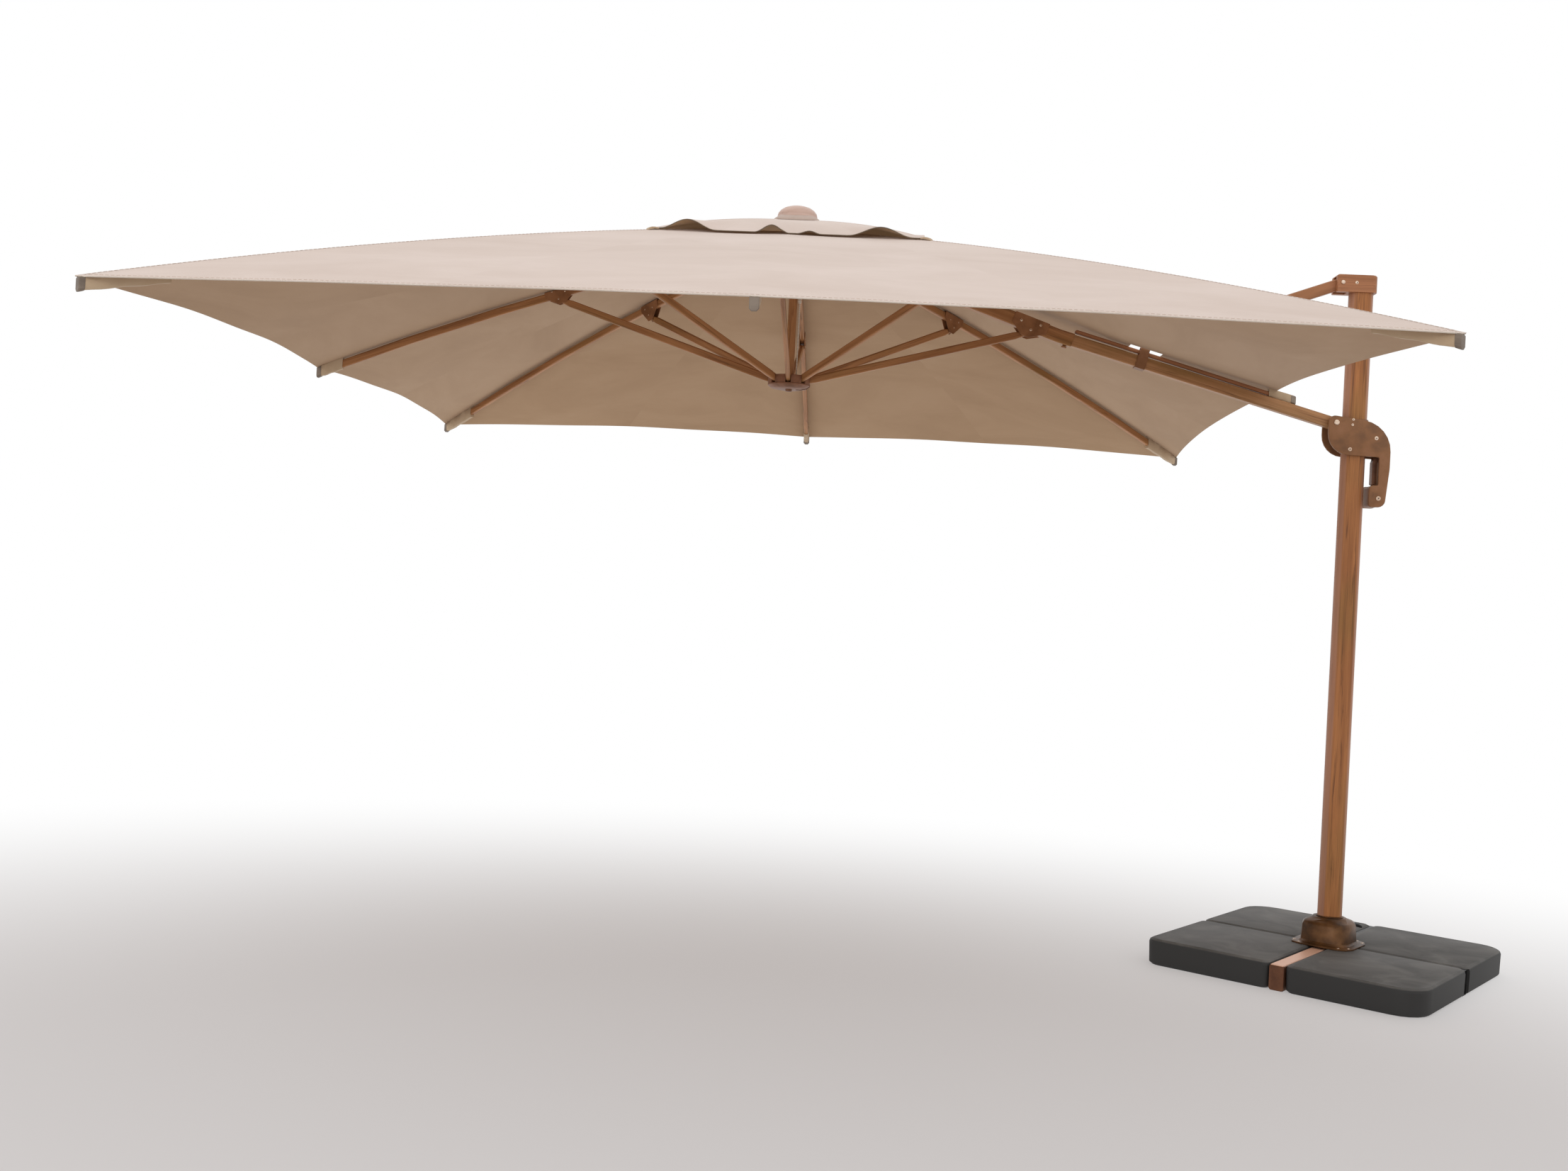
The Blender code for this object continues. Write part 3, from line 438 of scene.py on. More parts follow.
# The hem and the cloth's cut edges are paler than the top and glow: painted light, for the hem's lit edge.
cloth_hem = woven("cloth_hem", paint(222, 206, 190), paint(230, 216, 202), paint(210, 192, 176), painted_glow=0.30)
pocket_cloth = woven("pocket_cloth", paint(184, 160, 132), paint(192, 170, 144), paint(172, 148, 120))
skirt_cloth = woven("skirt_cloth", paint(188, 168, 156), paint(198, 178, 168), paint(174, 154, 142))
# The vent tier's underside glows a little: painted light, for light coming through its cloth.
vent_under = woven("vent_under", paint(150, 120, 88), paint(158, 128, 96), paint(140, 110, 78), painted_glow=0.22)
vent_piping = woven("vent_piping", paint(158, 134, 106), paint(168, 144, 118), paint(144, 120, 92))
print("finishes: cloth top, underside, hem, pockets, skirt, vent underside and piping")

# %% [markdown]
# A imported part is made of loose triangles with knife-sharp edges. To dress it, copy it, weld its
# points, melt the flat triangles together and bevel its edges by a millimetre, which gives every
# edge the thin highlight that tells metal from paper. The copy rides on the same body and stands
# for the original.

# %% Dressing a part of the frame
body_names = {name: body for body, names in frame["record"]["behaviour"]["bodies"].items() for name in names}


def add_piece(name, builder, finishes, smooth_angle=32):
    """A new object at the origin from a bmesh in frame coordinates."""
    mesh = bpy.data.meshes.new(name)
    builder.to_mesh(mesh)
    builder.free()
    for each in finishes:
        mesh.materials.append(each)
    mesh.shade_smooth()
    mesh.set_sharp_from_angle(angle=math.radians(smooth_angle))
    made = bpy.data.objects.new(name, mesh)
    scene.collection.objects.link(made)
    return made


def settle(piece):
    """Turns a piece's modifiers into plain mesh."""
    graph = bpy.context.evaluated_depsgraph_get()
    graph.update()
    mesh = bpy.data.meshes.new_from_object(piece.evaluated_get(graph))
    mesh.name = piece.name
    piece.modifiers.clear()
    piece.data = mesh
    return piece


def mark_grain(piece, along=None):
    """Stores each point's own coordinates on its tube: along it, then across it."""
    points = np.array([v.co for v in piece.data.vertices])
    centre = points.mean(0)
    if along is None:
        spread = np.linalg.svd(points - centre, full_matrices=False)[2]
        along = spread[0]
    along = np.array(along, float) / np.linalg.norm(along)
    side = np.cross(along, (0.0, 1.0, 0.0) if abs(along[1]) < 0.7 else (1.0, 0.0, 0.0))
    side /= np.linalg.norm(side)
    other = np.cross(along, side)
    offset = sum(ord(letter) for letter in piece.name) * 0.37
    local = (points - centre) @ np.array([along, side, other]).T + (offset, 0, 0)
    attribute = piece.data.attributes.new("grain", "FLOAT_VECTOR", "POINT")
    attribute.data.foreach_set("vector", local.astype(np.float32).ravel())


def dress(name, look, bevel=0.0008, along=None, angle=32):
    """A welded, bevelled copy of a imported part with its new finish."""
    source = frame["nodes"][name]
    builder = bmesh.new()
    builder.from_mesh(source.data)
    bmesh.ops.remove_doubles(builder, verts=builder.verts, dist=1e-5)
    bmesh.ops.dissolve_limit(builder, angle_limit=math.radians(0.6), verts=builder.verts, edges=builder.edges)
    made = add_piece(name + "_dressed", builder, [look], angle)
    if bevel:
        edge = made.modifiers.new("edge", "BEVEL")
        edge.width = bevel
        edge.segments = 2
        edge.limit_method = "ANGLE"
        edge.angle_limit = math.radians(35)
        edge.harden_normals = True
        settle(made)
    mark_grain(made, along)
    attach(made, body_names[name])
    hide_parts(name)
    return made


tubes = {
    "mast_tube": (mast_wood, 0.0), "upper_arm": (cap_wood, 0.0008), "boom_tube": (tube_wood, 0.0006),
    "inner_arm": (frame_wood, 0.0008), "mast_side_rib": (cap_wood, 0.0006), "centre_post": (frame_wood, 0.0),
}
for name in sorted(frame["nodes"]):
    if name.startswith(("rib_", "strut_")):
        tubes[name] = (frame_wood, 0.0006)
for name, (look, bevel) in tubes.items():
    dress(name, look, bevel)

castings = {
    "mast_cap": (cap_wood, 0.0012, (1, 0, 0)), "mast_foot": (base_bronze, 0.001, None),
    "slider_sleeve": (slider_bronze, 0.0008, None), "slider_plate_near": (slider_bronze, 0.0012, None),
    "slider_plate_far": (slider_bronze, 0.0012, None), "handle_grip": (slider_bronze, 0.0014, None),
    "arm_lug": (slider_bronze, 0.0008, None), "boom_bracket": (fitting_bronze, 0.0006, None),
    "collar_knob": (fitting_bronze, 0.0008, None), "top_hub": (hub_bronze, 0.001, None),
    "runner_crown": (hub_bronze, 0.0008, None), "runner_dish": (hub_bronze, 0.0008, None),
    "pole_base": (base_bronze, 0.0012, None), "cross_tube_long": (cross_bronze, 0.0008, None),
    # The short cross tubes lie in the gaps between the slabs; their black plastic is painted shade for those
    # gaps.
    "cross_tube_right": (black_plastic, 0.0008, None), "cross_tube_left": (black_plastic, 0.0008, None),
    "cross_end_cap_front": (cross_bronze, 0.0008, None), "cross_end_cap_back": (cross_bronze, 0.0008, None),
    "foot_pedal": (black_plastic, 0.001, None), "release_trigger": (lever_bronze, 0.0008, None),
    "arm_pin": (bolt_steel, 0.0008, None), "boom_pin": (bolt_steel, 0.0008, None),
    "lug_pin": (bolt_steel, 0.0008, None),
}
for name in sorted(frame["nodes"]):
    if name.startswith("bracket_"):
        castings[name] = (fitting_bronze, 0.0006, None)
for name, (look, bevel, along) in castings.items():
    dress(name, look, bevel, along)
for name in ("weight_front", "weight_right", "weight_back", "weight_left"):
    dress(name, slab_plastic, 0.003)
print("dressed", len(tubes), "tubes,", len(castings), "castings and 4 slabs")

# %% [markdown]
# The canopy is cut from eight gores, one to each rib, and each gore here is its own mesh so that
# it can swing down with its rib. Their shared edges lie half way between two ribs, and both sides
# get the same normals there, so open, the canopy reads as one unbroken sheet. The sheet follows a
# rule: it falls away from the middle, its hem curves in between the rib tips, and it dips a
# little between ribs. The cloth is taken to be sewn from four panels, so only the corner ribs
# carry a narrow raised band, the seam.

# %% Canopy shape
CENTRE_X = -2.03
CANOPY_HALF = 1.75
OPENING_HALF = 0.205
CLOTH = 0.0016
CANOPY_APEX, CANOPY_SLOPE, CANOPY_CURVE = 2.565, 0.2478, 0.0494
EDGE_HOLLOW = 0.057
RIB_DIP = 0.014  # how far the cloth dips half way between two ribs
SIDE_RISE, CORNER_DROP = 0.008, 0.020  # the hem, at the middle of a side and from there to a corner
RIPPLE = 0.0022
VENT_HALF, VENT_TOP = 0.455, 2.600
VENT_SLOPE, VENT_CURVE = 0.21, 0.19
VENT_DROP = 0.017  # between its arches the hem lies on the canopy
VENT_ARCHES = ((-0.97, -0.54, 0.034), (-0.26, 0.00, 0.026), (0.06, 0.24, 0.010), (0.43, 0.92, 0.032))
SEAM_HALF, SEAM_RISE = 0.007, 0.0009
HEM_WIDTH, HEM_FOLD = 0.016, 2.4  # the hem is the cloth turned over twice
ARM_OPENING = (1.222, 1.338, 0.030)  # where the upper arm comes through: from, to, half width
MAST_SIDE_START = 1.0

slider_pivot = Vector((-0.075, 0, 1.946))
collar = Vector((-1.036, 0, 2.208))
CLOTH_OVER_BOOM = 0.047


def cloth_height(m):
    """The canopy's height at a distance m from its middle, before it dips between the ribs."""
    return CANOPY_APEX - CANOPY_SLOPE * m - CANOPY_CURVE * m * m


def vent_height(m):
    return VENT_TOP - VENT_SLOPE * m - VENT_CURVE * m * m


def off_the_rule(hollow, t, share):
    """How far the cloth lies from cloth_height: lower between two ribs, and at the hem's corners."""
    return (SIDE_RISE - CORNER_DROP * t * t) * share**2 - RIB_DIP * hollow * share


def boom_height(x):
    slope = (collar.z - slider_pivot.z) / (collar.x - slider_pivot.x)
    return slider_pivot.z + slope * (x - slider_pivot.x)


def mast_side_lift(m):
    on_boom = boom_height(CENTRE_X + m) + CLOTH_OVER_BOOM
    return max(0.0, on_boom - cloth_height(m)) if m > MAST_SIDE_START else 0.0


def turned_to(face, x, y, z):
    """A point of side 0 to 3, which face +X, +Y, -X and -Y from the canopy's centre."""
    angle = face * math.pi / 2
    c, s = round(math.cos(angle)), round(math.sin(angle))
    return Vector((CENTRE_X + c * x - s * y, s * x + c * y, z))


def canopy_point(face, m, t):
    """A point of the main sheet: m from the middle, and t from -1 to 1 along that side."""
    share = m / CANOPY_HALF
    between = abs(t)
    hollow = 4 * between * (1 - between)
    reach = m * (1 - EDGE_HOLLOW / CANOPY_HALF * hollow * share**3)
    z = cloth_height(reach) + off_the_rule(hollow, t, share)
    if face == 0:
        z += mast_side_lift(m) * (1 - between) ** 2
    ripple = math.sin(9 * t * m + 3 * face) * math.sin(5.3 * m + face) * RIPPLE * hollow * share
    return turned_to(face, reach, reach * t, z + ripple)


def vent_point(face, m, t):
    """The small upper tier: its hem lifts in arches of different widths."""
    share = m / VENT_HALF
    rise = 0.0
    for low, high, height in VENT_ARCHES:
        if low < t < high:
            rise += height * math.sin(math.pi * (t - low) / (high - low)) ** 2
    z = vent_height(m) + rise * share**5 - VENT_DROP * share**3
    return turned_to(face, m, m * t, z)


def gore_columns(m, plain):
    """Places across a gore, from -1 to 1: fixed at the seam and the opening, then even shares."""
    seam = min(0.3, SEAM_HALF / (0.5 * m))
    slot = min(0.6, ARM_OPENING[2] / (0.5 * m))
    positive = [0.0, seam * 0.80, seam, slot] + [slot + (1 - slot) * k / plain for k in range(1, plain + 1)]
    return [-s for s in reversed(positive[1:])] + positive


def gore_point(point, rib, m, s):
    """A point of gore rib (0 is over the boom, then each 45 degrees), s from -1 to 1 across it."""
    if rib % 2 == 0:
        return point(rib // 2, m, 0.5 * s)
    face = rib // 2
    if s < 0:
        return point(face, m, 1 + 0.5 * s)
    return point((face + 1) % 4, m, -1 + 0.5 * s)


def sheet_normal(point, rib, m, s):
    """The sheet's upward normal, from small steps; over a border it looks into the next gore."""
    def go(dm, ds):
        across = s + ds
        gore = rib
        if across > 1:
            gore, across = (rib + 1) % 8, across - 2
        elif across < -1:
            gore, across = (rib - 1) % 8, across + 2
        return gore_point(point, gore, m + dm, across)
    along = go(0.004, 0) - go(-0.004, 0)
    across = go(0, 0.02) - go(0, -0.02)
    normal = along.cross(across)
    normal.normalize()
    return normal if normal.z > 0 else -normal


def build_gore(name, point, rib, sizes, plain, finishes, opening=None, cloth=CLOTH):
    """One gore as a closed thin shell, with a UV map in metres and matched normals."""
    rows = [gore_columns(m, plain) for m in sizes]
    seamed = rib % 2 == 1
    count_m, count_s = len(rows), len(rows[0])
    points, normals, flat = [], [], []
    for layer in (0, 1):
        for m, row in zip(sizes, rows):
            for s in row:
                normal = sheet_normal(point, rib, m, s)
                raised = SEAM_RISE if seamed and abs(s) * 0.5 * m <= SEAM_HALF * 0.9 else 0
                folded = HEM_FOLD if m > sizes[-1] - HEM_WIDTH else 1.0
                top = gore_point(point, rib, m, s) + Vector((0, 0, raised))
                points.append(tuple(top - normal * cloth * layer * folded))
                normals.append(tuple(normal if layer == 0 else -normal))
                flat.append((0.5 * m * s + rib * 0.31, m))

    def present(i, j):
        if not (0 <= i < count_m - 1 and 0 <= j < count_s - 1):
            return False
        if opening is None:
            return True
        m, s = (sizes[i] + sizes[i + 1]) / 2, (rows[i][j] + rows[i][j + 1]) / 2
        return not (opening[0] < m < opening[1] and abs(s) * 0.5 * m < opening[2])

    def at(layer, i, j):
        return layer * count_m * count_s + i * count_s + j

    faces, looks = [], []
    for i in range(count_m - 1):
        for j in range(count_s - 1):
            if not present(i, j):
                continue
            ring = [(i, j), (i + 1, j), (i + 1, j + 1), (i, j + 1)]
            faces.append([at(0, *c) for c in ring])
            faces.append([at(1, *c) for c in reversed(ring)])
            looks += [0, 1]
            beyond = [(i, j - 1), (i + 1, j), (i, j + 1), (i - 1, j)]
            for k, cell in enumerate(beyond):
                if not present(*cell):
                    a, b = ring[k], ring[(k + 1) % 4]
                    faces.append([at(0, *b), at(0, *a), at(1, *a), at(1, *b)])
                    looks.append(2)
    mesh = bpy.data.meshes.new(name)
    mesh.from_pydata(points, [], faces)
    for each in finishes:
        mesh.materials.append(each)
    mesh.polygons.foreach_set("material_index", looks)
    uv = mesh.uv_layers.new(name="cloth")
    for loop in mesh.loops:
        uv.data[loop.index].uv = flat[loop.vertex_index]
    loose = bmesh.new()
    loose.from_mesh(mesh)
    unused = [v for v in loose.verts if not v.link_faces]
    kept_normals = [n for v, n in zip(loose.verts, normals) if v.link_faces]
    bmesh.ops.delete(loose, geom=unused, context="VERTS")
    loose.to_mesh(mesh)
    loose.free()
    mesh.shade_smooth()
    mesh.normals_split_custom_set_from_vertices(kept_normals)
    made = bpy.data.objects.new(name, mesh)
    scene.collection.objects.link(made)
    return made


RIB_BODIES = ["boom", "rib_far_right", "rib_far", "rib_far_left", "rib_left", "rib_near_left", "rib_near",
              "rib_near_right"]


def sew_to_rib(piece, rib):
    """A cloth piece rides on its rib."""
    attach(piece, RIB_BODIES[rib])
    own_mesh(piece)


canopy_sizes = [OPENING_HALF + (CANOPY_HALF - OPENING_HALF) * k / 44 for k in range(45)]
for edge in ARM_OPENING[:2]:
    nearest = min(range(len(canopy_sizes)), key=lambda k: abs(canopy_sizes[k] - edge))
    canopy_sizes[nearest] = edge  # a row of the grid runs along each end of the opening
vent_sizes = [0.02 + (VENT_HALF - 0.02) * k / 26 for k in range(27)]
for sizes in (canopy_sizes, vent_sizes):
    sizes.insert(-1, sizes[-1] - HEM_WIDTH)
print("canopy rows", len(canopy_sizes), "vent rows", len(vent_sizes))

# %% [markdown]
# Each gore rides on its rib. When the umbrella closes, the ribs come together and real cloth
# gathers between them. A rigid gore cannot gather. The price shows when the umbrella is shut:
# neighbouring gores cross, and the corner ribs with their brackets come through their own gores.

# %% Canopy and vent tier
gores = []
for rib in range(len(RIB_BODIES)):
    gore = build_gore("canopy_gore_%d" % rib, canopy_point, rib, canopy_sizes, 21,
                      (cloth_top, cloth_under, cloth_hem), ARM_OPENING if rib == 0 else None)
    sew_to_rib(gore, rib)
    gores.append(gore)
    small = build_gore("vent_gore_%d" % rib, vent_point, rib, vent_sizes, 25,
                       (cloth_top, vent_under, vent_piping))
    sew_to_rib(small, rib)
    gores.append(small)
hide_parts("canopy")
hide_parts("vent_canopy")
print("gores:", len(gores), "with", sum(len(g.data.polygons) for g in gores), "faces")

# %% [markdown]
# The finial is a turned cap whose skirt hides the top of the vent tier.

# %% Finial
def lathe(profile, centre, steps=48):
    """A closed solid from (radius, height) points turned round a vertical line."""
    builder = bmesh.new()
    rings = []
    for radius, height in profile:
        rings.append([builder.verts.new(centre + Vector((
            radius * math.cos(2 * math.pi * k / steps), radius * math.sin(2 * math.pi * k / steps), height,
        ))) for k in range(steps)])
    for low, high in zip(rings, rings[1:]):
        for k in range(steps):
            builder.faces.new((low[k], low[(k + 1) % steps], high[(k + 1) % steps], high[k]))
    builder.faces.new(list(reversed(rings[0])))
    builder.faces.new(rings[-1])
    bmesh.ops.recalc_face_normals(builder, faces=builder.faces)
    return builder


finial_profile = [
    (0.012, 2.5415), (0.012, 2.596), (0.074, 2.596), (0.077, 2.599), (0.074, 2.608), (0.072, 2.611),
    (0.0725, 2.613), (0.070, 2.622), (0.062, 2.632), (0.050, 2.640), (0.034, 2.6455), (0.016, 2.648),
    (0.004, 2.648),
]
finial = add_piece("finial", lathe(finial_profile, Vector((CENTRE_X, 0, 0))), [finial_plastic], 50)
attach(finial, "hub")
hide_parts("vent_finial")
print("finial", round(finial_profile[-1][1], 3), "m high")

# %% [markdown]
# Under the finial, a short gathered skirt of the same cloth covers the hole that the vent tier is
# sewn round. It follows the tier's slopes, so each of its points takes its height from them.

# %% Finial skirt
builder = bmesh.new()
rings = []
STEPS = 96
for radius, lift in ((0.062, 0.0005), (0.100, 0.0008), (0.1005, 0.0030), (0.094, 0.0090), (0.086, 0.0145),
                     (0.0788, 0.0170), (0.0776, 0.0160), (0.062, 0.0135)):
    ring = []
    for k in range(STEPS):
        angle = 2 * math.pi * k / STEPS
        reach = radius * (1 + 0.014 * math.sin(11 * angle) * (radius > 0.08))
        x, y = reach * math.cos(angle), reach * math.sin(angle)
        ring.append(builder.verts.new((CENTRE_X + x, y, vent_height(max(abs(x), abs(y))) + lift)))
    rings.append(ring)
for low, high in zip(rings, rings[1:] + rings[:1]):
    for k in range(STEPS):
        builder.faces.new((low[k], low[(k + 1) % STEPS], high[(k + 1) % STEPS], high[k]))
bmesh.ops.recalc_face_normals(builder, faces=builder.faces)
flat = builder.loops.layers.uv.new("cloth")
for face in builder.faces:
    for loop in face.loops:
        loop[flat].uv = (loop.vert.co.x, loop.vert.co.y)
skirt = add_piece("finial_skirt", builder, [skirt_cloth], 60)
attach(skirt, "hub")
print("skirt", len(skirt.data.polygons), "faces")

# %% [markdown]
# Each rib pushes its end into a cloth pocket sewn under the canopy, and a plastic tip closes it.
# Both are lofted round the rib: rings of nine points whose top follows the underside of the
# cloth and whose bottom follows the rib.

# %% Rib pockets and tips
CORNER_POCKET, SIDE_POCKET = 0.230, 0.090


def rib_frame(name):
    """The rib's horizontal direction from the canopy's middle, its end, half width and underside."""
    points = np.array([v.co for v in frame["nodes"][name].data.vertices])
    flat_part = points[:, :2] - (CENTRE_X, 0)
    farthest = flat_part[np.argmax((flat_part ** 2).sum(1))]
    # Times the root of two, both parts of a direction round to whole numbers at the nearest 45 degrees.
    steps = [round(part * math.sqrt(2) / math.hypot(*farthest)) for part in farthest]
    out = Vector((steps[0], steps[1], 0)).normalized()
    reach = flat_part @ np.array(out[:2])
    side = out.cross(Vector((0, 0, 1)))
    half = float(np.abs(flat_part @ np.array(side[:2])).max())
    outer = points[reach > reach.max() - 0.02]
    slope = np.polyfit(reach[reach > 0.5], points[reach > 0.5][:, 2], 1)[0]
    low = float((outer[:, 2] - slope * (reach[reach > reach.max() - 0.02] - reach.max())).min())
    return out, side, float(reach.max()), half, low, float(slope)


def cloth_over(x, y):
    """The height of the cloth's top over a place near a rib."""
    along, aside = max(abs(x - CENTRE_X), abs(y)), min(abs(x - CENTRE_X), abs(y))
    t, share = aside / along, along / CANOPY_HALF
    z = cloth_height(along) + off_the_rule(4 * t * (1 - t), t, share)
    return z + (mast_side_lift(along) * (1 - t) ** 2 if x - CENTRE_X == along else 0)


def loft_rings(name, rings, look, smooth=40):
    """A closed solid through rings of equally many points, with a UV map in metres."""
    builder = bmesh.new()
    flat = builder.loops.layers.uv.new("cloth")
    made = [[builder.verts.new(p) for p in ring] for ring in rings]
    count = len(made[0])
    for low, high in zip(made, made[1:]):
        for k in range(count):
            builder.faces.new((low[k], low[(k + 1) % count], high[(k + 1) % count], high[k]))
    builder.faces.new(list(reversed(made[0])))
    builder.faces.new(made[-1])
    bmesh.ops.recalc_face_normals(builder, faces=builder.faces)
    for face in builder.faces:
        for loop in face.loops:
            loop[flat].uv = (loop.vert.co.x + loop.vert.co.z, loop.vert.co.y - loop.vert.co.z)
    return add_piece(name, builder, [look], smooth)


def pocket_ring(centre, side, half, low, below_cloth, corner=0.35):
    """Nine points round a rib: a flat bottom with cut corners and a top that follows the cloth."""
    def top(across):
        place = centre + side * across
        return cloth_over(place.x, place.y) - below_cloth

    cut_side, cut_up = half * corner, (top(half) - low) * 0.18
    outline = [(-half + cut_side, low), (half - cut_side, low), (half, low + cut_up),
               (half, top(half) - 0.001), (half * 0.9, top(half * 0.9)), (0.0, top(0.0)),
               (-half * 0.9, top(half * 0.9)), (-half, top(half) - 0.001), (-half, low + cut_up)]
    return [Vector((centre.x, centre.y, 0)) + side * across + Vector((0, 0, z)) for across, z in outline]


rib_nodes = ["mast_side_rib"] + RIB_BODIES[1:]
for rib, name in enumerate(rib_nodes):
    out, side, end, half, low, slope = rib_frame(name)
    pocket_length = CORNER_POCKET if rib % 2 else SIDE_POCKET
    rings = []
    for k in range(13):
        back = pocket_length * (1 - k / 12)
        reach = end + 0.001 - back
        centre = Vector((CENTRE_X, 0, 0)) + out * reach
        grow = 0.0022 + 0.0010 * math.sin(5 * k)
        rings.append(pocket_ring(centre, side, half + grow, low + slope * (reach - end) - grow, 0.0012))
    pocket = loft_rings("rib_pocket_%d" % rib, rings, pocket_cloth)
    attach(pocket, RIB_BODIES[rib])
    rings = []
    for back, grow in ((0.010, 0.0030), (0.0, 0.0042), (-0.004, 0.0042), (-0.0065, 0.002)):
        reach = end - back
        centre = Vector((CENTRE_X, 0, 0)) + out * reach
        bottom = low + slope * (reach - end) - grow
        rings.append(pocket_ring(centre, side, half + grow, bottom, 0.0062 - grow, 0.5))
    tip = loft_rings("rib_tip_%d" % rib, rings, tip_plastic, 30)
    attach(tip, RIB_BODIES[rib])

# %% [markdown]
# At each corner of the vent tier a small loop of webbing, folded flat, ties it to the rib below.

# %% Vent tabs
TAB_SECTIONS = (  # outwards, down, half width and thickness
    (-0.014, 0.000, 0.010, 0.0046), (0.004, 0.001, 0.010, 0.0060), (0.016, 0.004, 0.009, 0.0080),
    (0.026, 0.009, 0.008, 0.0060), (0.030, 0.012, 0.006, 0.003),
)
for rib in (1, 3, 5, 7):
    corner = gore_point(vent_point, rib, VENT_HALF, 0)
    out = Vector((corner.x - CENTRE_X, corner.y, 0)).normalized()
    side = out.cross(Vector((0, 0, 1)))
    rings = []
    for reach, drop, half, thick in TAB_SECTIONS:
        middle = corner + out * reach - Vector((0, 0, drop + 0.001))
        up = Vector((0, 0, thick / 2))
        rings.append([middle + side * half - up, middle - side * half - up, middle - side * (half + 0.001),
                      middle - side * half + up, middle + side * half + up, middle + side * (half + 0.001)])
    tab = loft_rings("vent_tab_%d" % rib, rings, pocket_cloth)
    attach(tab, RIB_BODIES[rib])

# %% [markdown]
# Screws and rivets repeat all over the frame, so one node tree makes them all. Its input is a
# cloud of points with two values each, which way the head faces and how large it is. The tree
# models one domed head on a washer with a six-sided socket in painted shade, a dark patch for its
# recess, copies it to every point, turns and scales the copies, and makes them real. There is one
# cloud for each body, so that the heads move with it.

# %% Fastener tree
def geometry_tree(name, inputs):
    """A new geometry node tree with a mesh in and out and further inputs (name, kind, value)."""
    made = bpy.data.node_groups.new(name, "GeometryNodeTree")
    made.interface.new_socket("Mesh", in_out="INPUT", socket_type="NodeSocketGeometry")
    for label, kind, value in inputs:
        socket = made.interface.new_socket(label, in_out="INPUT", socket_type=kind)
        if value is not None:
            socket.default_value = value
    made.interface.new_socket("Mesh", in_out="OUTPUT", socket_type="NodeSocketGeometry")
    return made, made.nodes.new("NodeGroupInput"), made.nodes.new("NodeGroupOutput")


def grown(name, source, tree, values):
    """An object made by running a node tree on a mesh, with the tree's inputs set by name."""
    made = bpy.data.objects.new(name, source)
    scene.collection.objects.link(made)
    runs = made.modifiers.new("grow", "NODES")
    runs.node_group = tree
    for item in tree.interface.items_tree:
        if item.in_out == "INPUT" and item.name in values:
            runs[item.identifier] = values[item.name]
    return settle(made)


fasteners, given, result = geometry_tree("fastener_heads", [
    ("Dome height", "NodeSocketFloat", 0.5), ("Washer width", "NodeSocketFloat", 1.3),
    ("Head finish", "NodeSocketMaterial", None), ("Socket finish", "NodeSocketMaterial", None),
])
join = fasteners.links.new
dome = node(fasteners, "GeometryNodeMeshUVSphere", Segments=20, Rings=10, Radius=1.0)
flatten = node(fasteners, "GeometryNodeTransform")
scale = node(fasteners, "ShaderNodeCombineXYZ", X=1.0, Y=1.0)
join(given.outputs["Dome height"], scale.inputs["Z"])
join(dome.outputs["Mesh"], flatten.inputs["Geometry"])
join(scale.outputs[0], flatten.inputs["Scale"])
washer = node(fasteners, "GeometryNodeMeshCylinder", Vertices=24, Depth=0.3)
join(given.outputs["Washer width"], washer.inputs["Radius"])
drive = node(fasteners, "GeometryNodeMeshCylinder", Vertices=6, Radius=0.40, Depth=0.2)
lift = node(fasteners, "GeometryNodeTransform", Translation=(0, 0, 0.42))
join(drive.outputs["Mesh"], lift.inputs["Geometry"])
mark = node(fasteners, "GeometryNodeStoreNamedAttribute", data_type="BOOLEAN", domain="FACE",
            Name="in_socket", Value=True)
join(lift.outputs["Geometry"], mark.inputs["Geometry"])
head = node(fasteners, "GeometryNodeJoinGeometry")
for part in (flatten.outputs["Geometry"], washer.outputs["Mesh"], mark.outputs["Geometry"]):
    join(part, head.inputs["Geometry"])
facing = node(fasteners, "GeometryNodeInputNamedAttribute", data_type="FLOAT_VECTOR", Name="facing")
turned = node(fasteners, "FunctionNodeAlignRotationToVector", axis="Z")
join(facing.outputs["Attribute"], turned.inputs["Vector"])
size = node(fasteners, "GeometryNodeInputNamedAttribute", data_type="FLOAT", Name="size")
copies = node(fasteners, "GeometryNodeInstanceOnPoints")
join(given.outputs["Mesh"], copies.inputs["Points"])
join(head.outputs["Geometry"], copies.inputs["Instance"])
join(turned.outputs["Rotation"], copies.inputs["Rotation"])
join(size.outputs["Attribute"], copies.inputs["Scale"])
real = node(fasteners, "GeometryNodeRealizeInstances")
join(copies.outputs["Instances"], real.inputs["Geometry"])
plain = node(fasteners, "GeometryNodeSetMaterial")
join(real.outputs["Geometry"], plain.inputs["Geometry"])
join(given.outputs["Head finish"], plain.inputs["Material"])
# Painted shade: the socket is set dark, for the shade inside its recess.
socket_shade = node(fasteners, "GeometryNodeSetMaterial")
which = node(fasteners, "GeometryNodeInputNamedAttribute", data_type="BOOLEAN", Name="in_socket")
join(plain.outputs["Geometry"], socket_shade.inputs["Geometry"])
join(which.outputs["Attribute"], socket_shade.inputs["Selection"])
join(given.outputs["Socket finish"], socket_shade.inputs["Material"])
join(socket_shade.outputs["Geometry"], result.inputs["Mesh"])
print("fastener tree:", len(fasteners.nodes), "nodes")

# %% Screws and rivets
heads = {}


def add_head(body, place, facing, size):
    heads.setdefault(body, []).append((Vector(place), Vector(facing), size))


def both_sides(body, x, z, half, size):
    for way in (-1, 1):
        add_head(body, (x, way * half, z), (0, way, 0), size)


